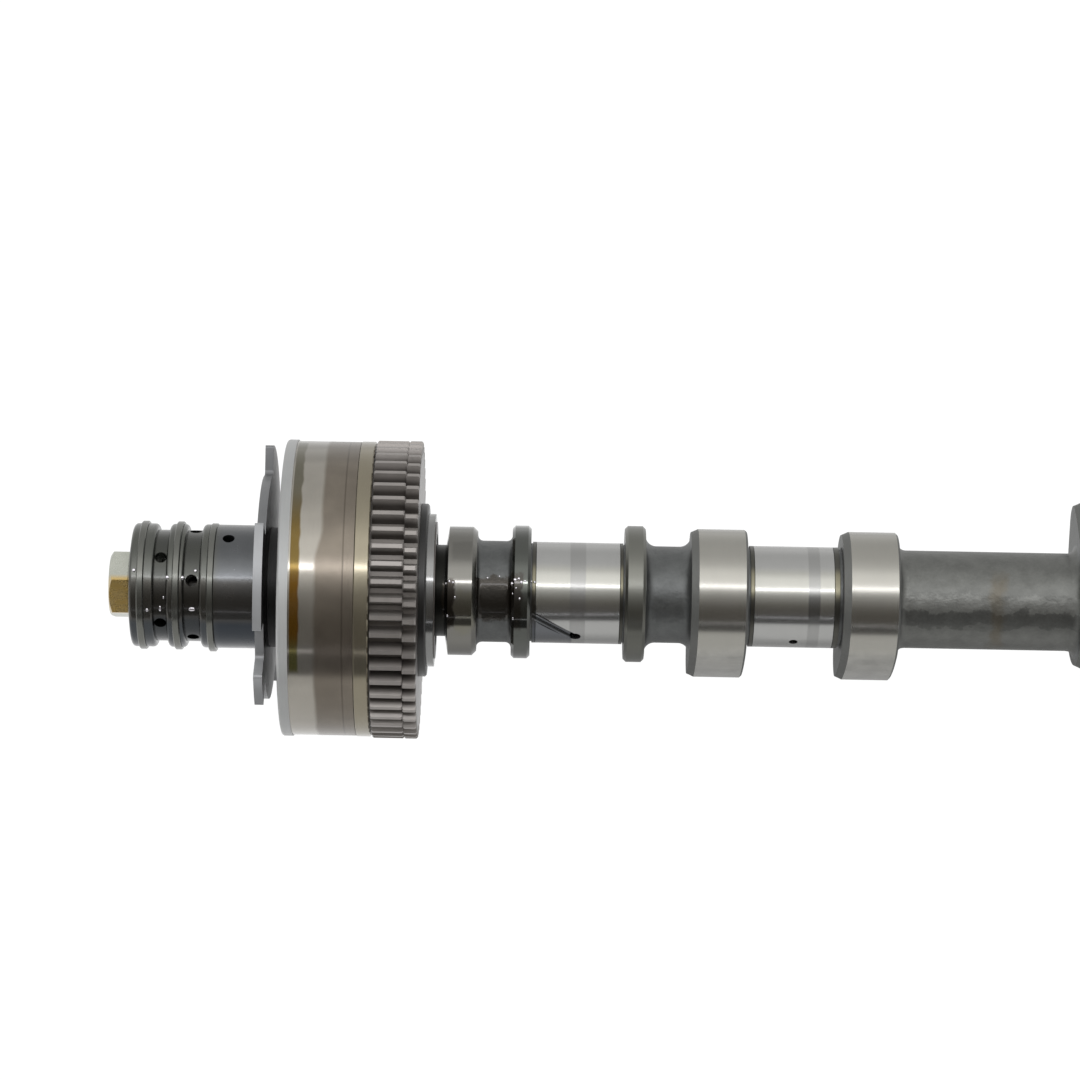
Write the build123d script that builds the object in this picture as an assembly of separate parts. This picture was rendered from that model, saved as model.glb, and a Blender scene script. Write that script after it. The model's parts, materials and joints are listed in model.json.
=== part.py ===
"""Inlet camshaft of one bank of a V6, with its vane phaser, split gear, trigger wheel and oil snout.

Millimetres. +X runs along the shaft from the snout to the rear end, +Z is up, and the origin is the
centre of the thrust journal. An angle is counted about +X, from +Y towards +Z.
"""
from build123d import *
from math import acos, atan2, cos, degrees, hypot, pi, radians, sin, sqrt, tan
import os

FULL_TURN = 360.0

# Lengths along the shaft, from the thrust journal forward to the bolt's head
JOURNAL_LENGTH = 25.0
RELIEF_WIDTH = 0.45
FRONT_FLANGE_WIDTH = 5.2
FRONT_NECK_LENGTH = 9.65
COLLAR_WIDTH = 8.7
BARE_NOSE_LENGTH = 2.6
SNAP_RING_LAND_WIDTH = 0.3
SNAP_RING_THICKNESS = 1.95
THRUST_PLATE_THICKNESS = 2.0
SCISSOR_GEAR_WIDTH = 3.75
MAIN_GEAR_WIDTH = 9.15
PLATE_THICKNESS = 4.1
CHAMBER_LENGTH = 17.5
COVER_THICKNESS = 3.0
BOSS_LENGTH = 4.0
WHEEL_THICKNESS = 2.4
CARRIER_LENGTH = 36.7
BOLT_HEAD_HEIGHT = 5.3
NOSE_LENGTH = 17.9

# Fits
PRESS_GAP = 0.02
RUNNING_GAP = 0.05
SIDE_GAP = 0.05
CUT_MARGIN = 1.0

# Thrust journal and the collars beside it
JOURNAL_RADIUS = 14.0
RELIEF_DEPTH = 0.4
COLLAR_RADIUS = 17.85
COLLAR_SLANT = 0.9
COLLAR_CHAMFER = 1.2
FRONT_NECK_RADIUS = 14.05
FRONT_NECK_FLARE = 1.6
FLANGE_RADIUS = 18.45
REAR_FLANGE_RADIUS = 18.9
REAR_FLANGE_WIDTH = 5.7
FLANGE_CHAMFER = 0.8
NECK_RADIUS = 13.4
NECK_FLARE = 3.0
NOSE_RADIUS = 12.7

# Cam lobes, in pairs, each pair on both sides of a bearing journal
CYLINDERS = 3
CYLINDER_PITCH_LENGTH = 107.0
FIRST_PAIR_DISTANCE = 59.8
LOBE_WIDTH = 15.5
LOBE_SHOULDER_WIDTH = 2.0
LOBE_SHOULDER_DEPTH = 0.9
LOBE_EDGE_WIDTH = 0.6
BASE_RADIUS = 18.4
NOSE_TIP_RADIUS = 7.0
NOSE_CENTRE_DISTANCE = 21.8
FLANK_RADIUS = 80.0
FIRST_NOSE_ANGLE = 270.0
NOSE_ANGLE_STEP = 120.0
PAIR_JOURNAL_LENGTH = 24.5
PAIR_RELIEF_WIDTH = 0.85
PAIR_RELIEF_DEPTH = 0.5
TUBE_RADIUS = 13.55
TUBE_FLARE = 2.5
STUB_RADIUS = 12.0
STUB_LENGTH = 11.0
STUB_CHAMFER = 1.5

# Oil ways in the shaft
THREAD_RADIUS = 6.0
THREAD_END_DISTANCE = 13.5
GALLERY_RADIUS = 3.5
PLUG_SHOULDER_WIDTH = 1.5
PLUG_LENGTH = 6.0
PLUG_WALL = 1.2
OIL_HOLE_RADIUS = 1.5
THRUST_HOLE_STATION = -0.4
THRUST_HOLE_ANGLE = 196.4
PAIR_HOLE_RADIUS = 1.2
PAIR_HOLE_ANGLE = 199.4
OIL_GROOVE_RADIUS = 1.3
OIL_GROOVE_START_ANGLE = 164.0
OIL_GROOVE_LIFT = 0.75

# Central bolt
BOLT_ACROSS_FLATS_WIDTH = 17.0
BOLT_CORNER_ANGLE = 69.8
BOLT_HEAD_CHAMFER_LENGTH = 1.0
BOLT_HEAD_CHAMFER_DEPTH = 1.6
BOLT_HEAD_DISH_RADIUS = 5.2
BOLT_HEAD_DISH_DEPTH = 0.6
BOLT_SPARE_THREAD_LENGTH = 4.4
BOLT_END_CHAMFER = 1.0

# Ring carrier, the snout that takes the oil in: distances are from its front
RING_OUTER_RADIUS = 17.8
RING_WALL = 1.9
RING_WIDTH = 1.9
RING_EDGE_WIDTH = 0.25
RING_PROUD_HEIGHT = 0.7
RING_FLOOR_GAP = 0.55
RING_SPLIT_WIDTH = 1.0
RING_SPLIT_ANGLE = 300.0
FIRST_RING_DISTANCE = 4.15
SECOND_RING_DISTANCE = 13.9
THIRD_RING_DISTANCE = 23.3
THIRD_RING_DROP = 0.5
CARRIER_FACE_WIDTH = 0.9
CARRIER_CONE_LENGTH = 1.2
SHOULDER_ROUNDING = 1.1
OIL_CHANNEL_DEPTH = 1.7
FRONT_CHANNEL_DISTANCE = 7.85
FRONT_CHANNEL_WIDTH = 3.3
REAR_CHANNEL_DISTANCE = 16.15
REAR_CHANNEL_WIDTH = 4.05
FEED_HOLE_RADIUS = 1.65
FEED_HOLES = 5
FRONT_FEED_ANGLE = 35.5
REAR_FEED_ANGLE = 59.8
VENT_DISTANCE = 27.8
VENT_ANGLE = 86.8
OIL_ANNULUS_DISTANCE = 12.0
OIL_ANNULUS_WIDTH = 2.2
PASSAGE_DISTANCE = 3.8
PASSAGE_RADIUS = 1.3

# Trigger wheel: each sector as its first and last angle
WHEEL_RADIUS = 39.4
WHEEL_LOW_RADIUS = 31.0
WHEEL_SECTORS = ((110.8, 154.8), (174.8, 192.3), (273.8, 407.8))
WHEEL_CORNER_ROUNDING = 0.8
WHEEL_ROOT_ROUNDING = 1.5
WHEEL_DOWEL_RADIUS = 1.2
WHEEL_DOWEL_DISTANCE = 2.2
WHEEL_DOWEL_ANGLES = (71.5, 215.5)
WHEEL_DOWEL_DEPTH = 3.0

# Phaser: its outside steps down a little from the gear's tips
COVER_STEP_DEPTH = 0.15
PLATE_STEP_DEPTH = 0.35
HOUSING_STEP_DEPTH = 0.5
COVER_ROUNDING = 0.8
PLATE_CHAMFER = 0.3
BOSS_STEP_DEPTH = 0.5
REAR_BOSS_WALL = 2.8
REAR_BOSS_GAP = 0.2
CHAMBER_RADIUS = 34.5
ROTOR_HUB_RADIUS = 19.5
VANES = 4
FIRST_VANE_ANGLE = 30.0
VANE_SWEEP = 24.0
VANE_TIP_GAP = 0.1
PHASE_RANGE = 20.0
STOP_GAP = 0.3
SEAL_WIDTH = 1.9
SEAL_HEIGHT = 2.5
SEAL_TIP_GAP = 0.04
SEAL_SLOT_GAP = 0.05
SEAL_SPRING_HEIGHT = 0.6
SEAL_SPRING_THICKNESS = 0.15
SEAL_SPRING_END_DISTANCE = 2.5
PORT_ANGLE = 13.2
ADVANCE_PORT_DISTANCE = 4.4
RETARD_PORT_DISTANCE = 5.1
FRONT_RING_WAY_DEPTH = 1.5
BOLT_PILOT_DISTANCE = 2.5

# Lock pin, drawn back into its vane
LOCK_WALL_DISTANCE = 7.5
LOCK_PIN_RADIUS = 3.0
LOCK_PIN_LENGTH = 9.5
LOCK_PIN_RETREAT_LENGTH = 0.3
LOCK_PIN_HOLLOW_RADIUS = 1.95
LOCK_PIN_HOLLOW_DEPTH = 6.5
LOCK_BORE_DEPTH = 15.0
LOCK_SPRING_WIRE_WIDTH = 0.55
LOCK_SPRING_TURNS = 5
LOCK_BUSH_WALL = 1.5
LOCK_BUSH_DEPTH = 2.8

# Cover screws, countersunk flush
SCREW_WALL_DISTANCE = 4.5
SCREW_RADIUS = 2.5
SCREW_HOLE_GAP = 0.1
SCREW_HEAD_RADIUS = 4.9
SCREW_SOCKET_RADIUS = 1.7
SCREW_SOCKET_DEPTH = 1.8
SCREW_GRIP_LENGTH = 5.7
SCREW_SINK_DEPTH = 0.1

# Gears: the main gear and the narrow gear that takes up backlash beside it
TEETH = 53
MODULE = 1.5
PRESSURE_ANGLE = 20.0
TOOTH_TIP_CHAMFER = 0.35
FIRST_TOOTH_ANGLE = 120.6
SCISSOR_OFFSET_ANGLE = 1.5
TEETH_STEP_WIDTH = 0.4
TEETH_STEP_DEPTH = 0.675
GEAR_HUB_WALL = 3.5
SPRING_POCKET_WALL = 1.5
SPRING_POCKET_WIDTH = 5.2
SPRING_POCKET_DEPTH = 3.2
SPRING_RING_GAP = 0.4
SPRING_RING_OPENING_ANGLE = 36.0
SPRING_PIN_RADIUS = 1.25
SPRING_PIN_INSET_ANGLE = 7.0
SPRING_PIN_DEPTH = 2.0
SPRING_MIDDLE_ANGLE = 20.0
THRUST_PLATE_WIDTH = 5.0
THRUST_PLATE_CHAMFER = 0.4
SNAP_RING_WIDTH = 3.2
SNAP_RING_GROOVE_DEPTH = 1.0
SNAP_RING_OPENING_ANGLE = 24.0
SNAP_RING_ANGLE = 320.0

# Dowel between the shaft's nose and the rotor
NOSE_DOWEL_RADIUS = 1.5
NOSE_DOWEL_ANGLE = 90.0
NOSE_DOWEL_DEPTH = 3.0
DOWEL_END_GAP = 0.2

# Stations worked out from the lengths above, counted from the centre of the thrust journal
JOURNAL_HALF = JOURNAL_LENGTH / 2
REAR_FLANGE_FRONT = JOURNAL_HALF + RELIEF_WIDTH
REAR_FLANGE_REAR = REAR_FLANGE_FRONT + REAR_FLANGE_WIDTH
FLANGE_FRONT = -REAR_FLANGE_FRONT - FRONT_FLANGE_WIDTH
COLLAR_REAR = FLANGE_FRONT - FRONT_NECK_LENGTH
COLLAR_FRONT = COLLAR_REAR - COLLAR_WIDTH
NOSE_FRONT = COLLAR_FRONT - NOSE_LENGTH
HUB_REAR = COLLAR_FRONT - BARE_NOSE_LENGTH
SNAP_RING_REAR = HUB_REAR - SNAP_RING_LAND_WIDTH - RUNNING_GAP
SNAP_RING_FRONT = SNAP_RING_REAR - SNAP_RING_THICKNESS
THRUST_PLATE_FRONT = SNAP_RING_FRONT - THRUST_PLATE_THICKNESS
SPLIT_FACE = THRUST_PLATE_FRONT - SCISSOR_GEAR_WIDTH
GEAR_FRONT = SPLIT_FACE - MAIN_GEAR_WIDTH
CHAMBER_REAR = GEAR_FRONT - PLATE_THICKNESS
CHAMBER_FRONT = CHAMBER_REAR - CHAMBER_LENGTH
COVER_FRONT = CHAMBER_FRONT - COVER_THICKNESS
BOSS_FRONT = COVER_FRONT - BOSS_LENGTH
WHEEL_FRONT = BOSS_FRONT - WHEEL_THICKNESS
CARRIER_FRONT = WHEEL_FRONT - CARRIER_LENGTH
BOLT_HEAD_FRONT = CARRIER_FRONT - BOLT_HEAD_HEIGHT
THREAD_END = -JOURNAL_HALF - THREAD_END_DISTANCE
BOLT_END = THREAD_END - BOLT_SPARE_THREAD_LENGTH
ADVANCE_PORT_STATION = CHAMBER_FRONT + ADVANCE_PORT_DISTANCE
RETARD_PORT_STATION = CHAMBER_REAR - RETARD_PORT_DISTANCE
BOLT_PILOT_FRONT = ADVANCE_PORT_STATION + BOLT_PILOT_DISTANCE
SCREW_END = GEAR_FRONT + SCREW_GRIP_LENGTH
RING_DISTANCES = (FIRST_RING_DISTANCE, SECOND_RING_DISTANCE, THIRD_RING_DISTANCE)
RING_STATIONS = [CARRIER_FRONT + distance for distance in RING_DISTANCES]
RING_DROPS = (0.0, 0.0, THIRD_RING_DROP)
FRONT_CHANNEL_START = CARRIER_FRONT + FRONT_CHANNEL_DISTANCE
REAR_CHANNEL_START = CARRIER_FRONT + REAR_CHANNEL_DISTANCE
FRONT_CHANNEL = (FRONT_CHANNEL_START, FRONT_CHANNEL_START + FRONT_CHANNEL_WIDTH)
REAR_CHANNEL = (REAR_CHANNEL_START, REAR_CHANNEL_START + REAR_CHANNEL_WIDTH)
VENT_STATION = CARRIER_FRONT + VENT_DISTANCE
OIL_ANNULUS_FRONT = CARRIER_FRONT + OIL_ANNULUS_DISTANCE
LOBE_OFFSET = PAIR_JOURNAL_LENGTH / 2 + PAIR_RELIEF_WIDTH + LOBE_WIDTH / 2
PAIRS = [FIRST_PAIR_DISTANCE + CYLINDER_PITCH_LENGTH * cylinder for cylinder in range(CYLINDERS)]
SHAFT_LOBES_END = PAIRS[-1] + LOBE_OFFSET + LOBE_WIDTH / 2
SHAFT_END = SHAFT_LOBES_END + STUB_LENGTH

# Radii and angles worked out from the sizes above
PITCH_RADIUS = MODULE * TEETH / 2
TIP_RADIUS = PITCH_RADIUS + MODULE
ROOT_RADIUS = PITCH_RADIUS - 1.25 * MODULE
TEETH_STEP_RADIUS = ROOT_RADIUS - TEETH_STEP_DEPTH
COVER_RADIUS = TIP_RADIUS - COVER_STEP_DEPTH
PLATE_RADIUS = TIP_RADIUS - PLATE_STEP_DEPTH
HOUSING_RADIUS = TIP_RADIUS - HOUSING_STEP_DEPTH
PAIR_RELIEF_RADIUS = JOURNAL_RADIUS - PAIR_RELIEF_DEPTH
PLUG_RADIUS = GALLERY_RADIUS + PLUG_SHOULDER_WIDTH
CARRIER_RADIUS = RING_OUTER_RADIUS - RING_PROUD_HEIGHT
CARRIER_FACE_RADIUS = BOLT_ACROSS_FLATS_WIDTH / 2 + CARRIER_FACE_WIDTH
RING_INNER_RADIUS = RING_OUTER_RADIUS - RING_WALL
RING_FLOOR_RADIUS = RING_INNER_RADIUS - RING_FLOOR_GAP
OIL_CHANNEL_FLOOR_RADIUS = CARRIER_RADIUS - OIL_CHANNEL_DEPTH
OIL_ANNULUS_RADIUS = THREAD_RADIUS + OIL_ANNULUS_WIDTH
PASSAGE_CIRCLE_RADIUS = OIL_ANNULUS_RADIUS + PASSAGE_DISTANCE
WHEEL_DOWEL_CIRCLE_RADIUS = CARRIER_RADIUS - WHEEL_DOWEL_DISTANCE
NOSE_DOWEL_CIRCLE_RADIUS = (THREAD_RADIUS + NOSE_RADIUS) / 2
BOSS_RADIUS = CARRIER_RADIUS - BOSS_STEP_DEPTH
REAR_BOSS_RADIUS = NOSE_RADIUS + REAR_BOSS_WALL
LOCK_CIRCLE_RADIUS = CHAMBER_RADIUS - LOCK_WALL_DISTANCE
SCREW_CIRCLE_RADIUS = CHAMBER_RADIUS - SCREW_WALL_DISTANCE
GEAR_HUB_RADIUS = REAR_BOSS_RADIUS + GEAR_HUB_WALL
SPRING_POCKET_INNER_RADIUS = GEAR_HUB_RADIUS + SPRING_POCKET_WALL
SPRING_POCKET_OUTER_RADIUS = SPRING_POCKET_INNER_RADIUS + SPRING_POCKET_WIDTH
SPRING_CIRCLE_RADIUS = (SPRING_POCKET_INNER_RADIUS + SPRING_POCKET_OUTER_RADIUS) / 2
THRUST_PLATE_RADIUS = GEAR_HUB_RADIUS + THRUST_PLATE_WIDTH
SNAP_RING_GROOVE_RADIUS = GEAR_HUB_RADIUS - SNAP_RING_GROOVE_DEPTH
SNAP_RING_RADIUS = SNAP_RING_GROOVE_RADIUS + SNAP_RING_WIDTH
CHAMBER_SWEEP = VANE_SWEEP + PHASE_RANGE + 2 * STOP_GAP
VANE_ANGLES = [FIRST_VANE_ANGLE + FULL_TURN / VANES * vane for vane in range(VANES)]
CHAMBER_SHIFT = STOP_GAP - (CHAMBER_SWEEP - VANE_SWEEP) / 2
CHAMBER_ANGLES = [angle + CHAMBER_SHIFT for angle in VANE_ANGLES]
LOBE_ANGLES = [angle + FULL_TURN / VANES / 2 for angle in CHAMBER_ANGLES]
MAIN_PIN_ANGLE = SPRING_MIDDLE_ANGLE - SPRING_RING_OPENING_ANGLE / 2 - SPRING_PIN_INSET_ANGLE
SCISSOR_PIN_ANGLE = SPRING_MIDDLE_ANGLE + SPRING_RING_OPENING_ANGLE / 2 + SPRING_PIN_INSET_ANGLE


def polar(radius, angle):
    """A point of a cross-section, from its distance to the axis and its angle."""
    return (radius * cos(radians(angle)), radius * sin(radians(angle)))


def turned(*outline):
    """Spin an outline of (station, radius) corners about the axis, solid to the axis."""
    corners = [(outline[0][0], 0), *outline, (outline[-1][0], 0)]
    return revolve(make_face(Polyline(*corners, close=True)), Axis.X)


def prism(section, start, end):
    """Push a cross-section along the shaft from one station to another."""
    return extrude(Plane.YZ.offset(start) * section, end - start)


def bar(radius, start, end):
    """A plain round bar on the axis."""
    return prism(Circle(radius), start, end)


def pin_at(circle, angle, radius, start, end):
    """A round bar along the shaft, at a distance from its axis."""
    return prism(Pos(*polar(circle, angle)) * Circle(radius), start, end)


def drilling(station, angle, radius, inner, outer):
    """A round bar across the shaft, standing on the axis at one station."""
    rod = Cylinder(radius, outer - inner, align=(Align.CENTER, Align.CENTER, Align.MIN))
    upright = Pos(0, 0, inner) * rod
    return Pos(station, 0, 0) * Rot(angle - 90, 0, 0) * upright


def sector(inner, outer, middle, sweep):
    """An annular slice, so many degrees wide on both sides of its middle."""
    first = middle - sweep / 2
    last = middle + sweep / 2
    outer_arc = ThreePointArc(polar(outer, first), polar(outer, middle), polar(outer, last))
    inner_arc = ThreePointArc(polar(inner, last), polar(inner, middle), polar(inner, first))
    start_side = Line(polar(inner, first), polar(outer, first))
    end_side = Line(polar(outer, last), polar(inner, last))
    return make_face([start_side, outer_arc, end_side, inner_arc])


def neck(radius, start, end, flare):
    """A stretch of shaft whose two ends sweep out in a fillet to the faces beside it."""
    brim = radius + flare
    dip = flare * (1 - sqrt(0.5))
    front = ThreePointArc((start, brim), (start + dip, radius + dip), (start + flare, radius))
    middle = Line((start + flare, radius), (end - flare, radius))
    rear = ThreePointArc((end - flare, radius), (end - dip, radius + dip), (end, brim))
    closing = Polyline((end, brim), (end, 0), (start, 0), (start, brim))
    return revolve(make_face([front, middle, rear, closing]), Axis.X)


def rims_at(shape, radius, stations):
    """The round edges of a shape that have one radius and stand at one of some stations."""
    found = []
    for rim in shape.edges().filter_by(GeomType.CIRCLE):
        away = min(abs(rim.arc_center.X - station) for station in stations)
        if abs(rim.radius - radius) < RUNNING_GAP and away < RUNNING_GAP:
            found.append(rim)
    return found


def corners_at(section, radius):
    """The corners of a cross-section that lie at one distance from the axis."""
    return [corner for corner in section.vertices() if abs(hypot(corner.X, corner.Y) - radius) < RUNNING_GAP]


def cam_section(nose_angle):
    """A cam: a base circle and a nose circle, joined by two wide flank arcs tangent to both."""
    to_base = FLANK_RADIUS - BASE_RADIUS
    to_nose = FLANK_RADIUS - NOSE_TIP_RADIUS
    along = (to_base**2 - to_nose**2 + NOSE_CENTRE_DISTANCE**2) / (2 * NOSE_CENTRE_DISTANCE)
    aside = sqrt(to_base**2 - along**2)
    base_angle = degrees(atan2(aside, -along))
    nose_angle_at_flank = degrees(atan2(aside, NOSE_CENTRE_DISTANCE - along))
    middle_angle = (base_angle + nose_angle_at_flank) / 2

    def on_base(angle):
        return polar(BASE_RADIUS, angle)

    def on_nose(angle):
        across, up = polar(NOSE_TIP_RADIUS, angle)
        return (NOSE_CENTRE_DISTANCE + across, up)

    def on_flank(angle, side):
        across, up = polar(FLANK_RADIUS, angle)
        return (along + across, side * (up - aside))

    back = ThreePointArc(on_base(base_angle), on_base(180), on_base(-base_angle))
    low = ThreePointArc(on_base(-base_angle), on_flank(middle_angle, -1), on_nose(-nose_angle_at_flank))
    tip = ThreePointArc(on_nose(-nose_angle_at_flank), on_nose(0), on_nose(nose_angle_at_flank))
    high = ThreePointArc(on_nose(nose_angle_at_flank), on_flank(middle_angle, 1), on_base(base_angle))
    return Rot(0, 0, nose_angle) * make_face([back, low, tip, high])


def cam_lobe(station, nose_angle):
    """One lobe: the grinding leaves a wide shoulder in front and only breaks the rear edge."""
    block = prism(cam_section(nose_angle), station - LOBE_WIDTH / 2, station + LOBE_WIDTH / 2)
    front = block.faces().sort_by(Axis.X)[0]
    block = chamfer(front.edges(), LOBE_SHOULDER_DEPTH, LOBE_SHOULDER_WIDTH, reference=front)
    rear = block.faces().sort_by(Axis.X)[-1]
    return chamfer(rear.edges(), LOBE_EDGE_WIDTH)


def lobe_pair(cylinder):
    """Two equal lobes with the bearing journal between them, narrowed beside each lobe."""
    station = PAIRS[cylinder]
    nose_angle = FIRST_NOSE_ANGLE + NOSE_ANGLE_STEP * cylinder
    reach = LOBE_OFFSET - LOBE_WIDTH / 2
    half = PAIR_JOURNAL_LENGTH / 2
    relief = bar(PAIR_RELIEF_RADIUS, station - reach, station + reach)
    journal = bar(JOURNAL_RADIUS, station - half, station + half)
    front_lobe = cam_lobe(station - LOBE_OFFSET, nose_angle)
    rear_lobe = cam_lobe(station + LOBE_OFFSET, nose_angle)
    return relief + journal + front_lobe + rear_lobe


def oil_groove():
    """The slanting groove that feeds the thrust journal's oil hole from the journal's front edge."""
    reach = JOURNAL_RADIUS + OIL_GROOVE_LIFT
    start_y, start_z = polar(reach, OIL_GROOVE_START_ANGLE)
    end_y, end_z = polar(reach, THRUST_HOLE_ANGLE)
    start = Vector(-JOURNAL_HALF, start_y, start_z)
    end = Vector(THRUST_HOLE_STATION, end_y, end_z)
    run = Plane(origin=start, z_dir=end - start)
    length = (end - start).length
    return run * Cylinder(OIL_GROOVE_RADIUS, length, align=(Align.CENTER, Align.CENTER, Align.MIN))


def camshaft():
    """The one-piece chilled casting with its turned journals and drilled oil ways."""
    nose = bar(NOSE_RADIUS, NOSE_FRONT, COLLAR_FRONT)
    collar = turned(
        (COLLAR_FRONT, NOSE_RADIUS),
        (COLLAR_FRONT + COLLAR_SLANT, COLLAR_RADIUS),
        (COLLAR_REAR - COLLAR_CHAMFER, COLLAR_RADIUS),
        (COLLAR_REAR, COLLAR_RADIUS - COLLAR_CHAMFER),
    )
    front_neck = neck(FRONT_NECK_RADIUS, COLLAR_REAR, FLANGE_FRONT, FRONT_NECK_FLARE)
    front_flange = turned(
        (FLANGE_FRONT, FLANGE_RADIUS - FLANGE_CHAMFER),
        (FLANGE_FRONT + FLANGE_CHAMFER, FLANGE_RADIUS),
        (-REAR_FLANGE_FRONT - FLANGE_CHAMFER, FLANGE_RADIUS),
        (-REAR_FLANGE_FRONT, FLANGE_RADIUS - FLANGE_CHAMFER),
    )
    relief = bar(JOURNAL_RADIUS - RELIEF_DEPTH, -REAR_FLANGE_FRONT, REAR_FLANGE_FRONT)
    journal = bar(JOURNAL_RADIUS, -JOURNAL_HALF, JOURNAL_HALF)
    rear_flange = turned(
        (REAR_FLANGE_FRONT, REAR_FLANGE_RADIUS - FLANGE_CHAMFER),
        (REAR_FLANGE_FRONT + FLANGE_CHAMFER, REAR_FLANGE_RADIUS),
        (REAR_FLANGE_REAR - FLANGE_CHAMFER, REAR_FLANGE_RADIUS),
        (REAR_FLANGE_REAR, REAR_FLANGE_RADIUS - FLANGE_CHAMFER),
    )
    first_lobe_front = PAIRS[0] - LOBE_OFFSET - LOBE_WIDTH / 2
    rear_neck = neck(NECK_RADIUS, REAR_FLANGE_REAR, first_lobe_front, NECK_FLARE)
    stub = turned(
        (SHAFT_LOBES_END, STUB_RADIUS),
        (SHAFT_END - STUB_CHAMFER, STUB_RADIUS),
        (SHAFT_END, STUB_RADIUS - STUB_CHAMFER),
    )
    shaft = nose + collar + front_neck + front_flange + relief + journal + rear_flange + rear_neck + stub
    for cylinder in range(CYLINDERS):
        shaft += lobe_pair(cylinder)
    for station in PAIRS[:-1]:
        tube_front = station + LOBE_OFFSET + LOBE_WIDTH / 2
        tube_rear = tube_front + CYLINDER_PITCH_LENGTH - 2 * LOBE_OFFSET - LOBE_WIDTH
        shaft += neck(TUBE_RADIUS, tube_front, tube_rear, TUBE_FLARE)

    shaft -= bar(THREAD_RADIUS + PRESS_GAP, NOSE_FRONT, THREAD_END)
    shaft -= bar(GALLERY_RADIUS, THREAD_END, SHAFT_END)
    shaft -= bar(PLUG_RADIUS + PRESS_GAP, SHAFT_END - PLUG_LENGTH, SHAFT_END)
    shaft -= nose_dowel(PRESS_GAP)
    shaft -= oil_groove()
    beyond = JOURNAL_RADIUS + CUT_MARGIN
    shaft -= drilling(THRUST_HOLE_STATION, THRUST_HOLE_ANGLE, OIL_HOLE_RADIUS, 0, beyond)
    for station in PAIRS:
        shaft -= drilling(station, PAIR_HOLE_ANGLE, PAIR_HOLE_RADIUS, 0, beyond)
    return shaft


def gallery_plug():
    """The cup pressed into the rear end of the oil gallery."""
    cup = bar(PLUG_RADIUS, SHAFT_END - PLUG_LENGTH, SHAFT_END)
    return cup - bar(PLUG_RADIUS - PLUG_WALL, SHAFT_END - PLUG_LENGTH + PLUG_WALL, SHAFT_END)


def nose_dowel(room=0.0):
    """The dowel that sets the rotor's angle on the shaft, or with room its two holes."""
    end_room = DOWEL_END_GAP if room else 0.0
    front = NOSE_FRONT - NOSE_DOWEL_DEPTH - end_room
    rear = NOSE_FRONT + NOSE_DOWEL_DEPTH + end_room
    return pin_at(NOSE_DOWEL_CIRCLE_RADIUS, NOSE_DOWEL_ANGLE, NOSE_DOWEL_RADIUS + room, front, rear)


def central_bolt():
    """The long bolt that clamps snout, trigger wheel and rotor to the shaft's nose."""
    across = RegularPolygon(BOLT_ACROSS_FLATS_WIDTH / 2, 6, major_radius=False, rotation=BOLT_CORNER_ANGLE)
    corner_radius = BOLT_ACROSS_FLATS_WIDTH / 2 / cos(radians(30))
    cone = turned(
        (BOLT_HEAD_FRONT, corner_radius - BOLT_HEAD_CHAMFER_DEPTH),
        (BOLT_HEAD_FRONT + BOLT_HEAD_CHAMFER_LENGTH, corner_radius),
        (CARRIER_FRONT, corner_radius),
    )
    head = prism(across, BOLT_HEAD_FRONT, CARRIER_FRONT) & cone
    head -= bar(BOLT_HEAD_DISH_RADIUS, BOLT_HEAD_FRONT, BOLT_HEAD_FRONT + BOLT_HEAD_DISH_DEPTH)
    shank = turned(
        (CARRIER_FRONT, THREAD_RADIUS),
        (BOLT_END - BOLT_END_CHAMFER, THREAD_RADIUS),
        (BOLT_END, THREAD_RADIUS - BOLT_END_CHAMFER),
    )
    return head + shank


def outer_groove(start, end, floor):
    """The ring of metal cut away from the snout between two stations, down to a floor."""
    return bar(CARRIER_RADIUS + CUT_MARGIN, start, end) - bar(floor, start, end)


def feed_angles(first):
    """The angles of the feed holes round one channel."""
    return [first + FULL_TURN / FEED_HOLES * hole for hole in range(FEED_HOLES)]


def ring_carrier():
    """The snout: three ring grooves, two oil channels and the ways that lead the oil back."""
    shoulder = CARRIER_FRONT + CARRIER_CONE_LENGTH
    body = turned(
        (CARRIER_FRONT, CARRIER_FACE_RADIUS),
        (shoulder, CARRIER_RADIUS),
        (WHEEL_FRONT, CARRIER_RADIUS),
    )
    for channel in (FRONT_CHANNEL, REAR_CHANNEL):
        body -= outer_groove(*channel, OIL_CHANNEL_FLOOR_RADIUS)
    rims = rims_at(body, CARRIER_RADIUS, (shoulder, *FRONT_CHANNEL, *REAR_CHANNEL))
    body = fillet(rims, SHOULDER_ROUNDING)
    body -= bar(THREAD_RADIUS + RUNNING_GAP, CARRIER_FRONT, WHEEL_FRONT)
    body -= bar(OIL_ANNULUS_RADIUS, OIL_ANNULUS_FRONT, WHEEL_FRONT)
    half = RING_WIDTH / 2 + SIDE_GAP
    for station in RING_STATIONS:
        body -= outer_groove(station - half, station + half, RING_FLOOR_RADIUS)
    front_middle = sum(FRONT_CHANNEL) / 2
    rear_middle = sum(REAR_CHANNEL) / 2
    for angle in feed_angles(FRONT_FEED_ANGLE):
        body -= drilling(front_middle, angle, FEED_HOLE_RADIUS, PASSAGE_CIRCLE_RADIUS, CARRIER_RADIUS)
        body -= pin_at(PASSAGE_CIRCLE_RADIUS, angle, PASSAGE_RADIUS, front_middle, WHEEL_FRONT)
    for angle in feed_angles(REAR_FEED_ANGLE):
        body -= drilling(rear_middle, angle, FEED_HOLE_RADIUS, 0, CARRIER_RADIUS)
    body -= drilling(VENT_STATION, VENT_ANGLE, FEED_HOLE_RADIUS, 0, CARRIER_RADIUS + CUT_MARGIN)
    return body - wheel_dowels(PRESS_GAP)


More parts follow.
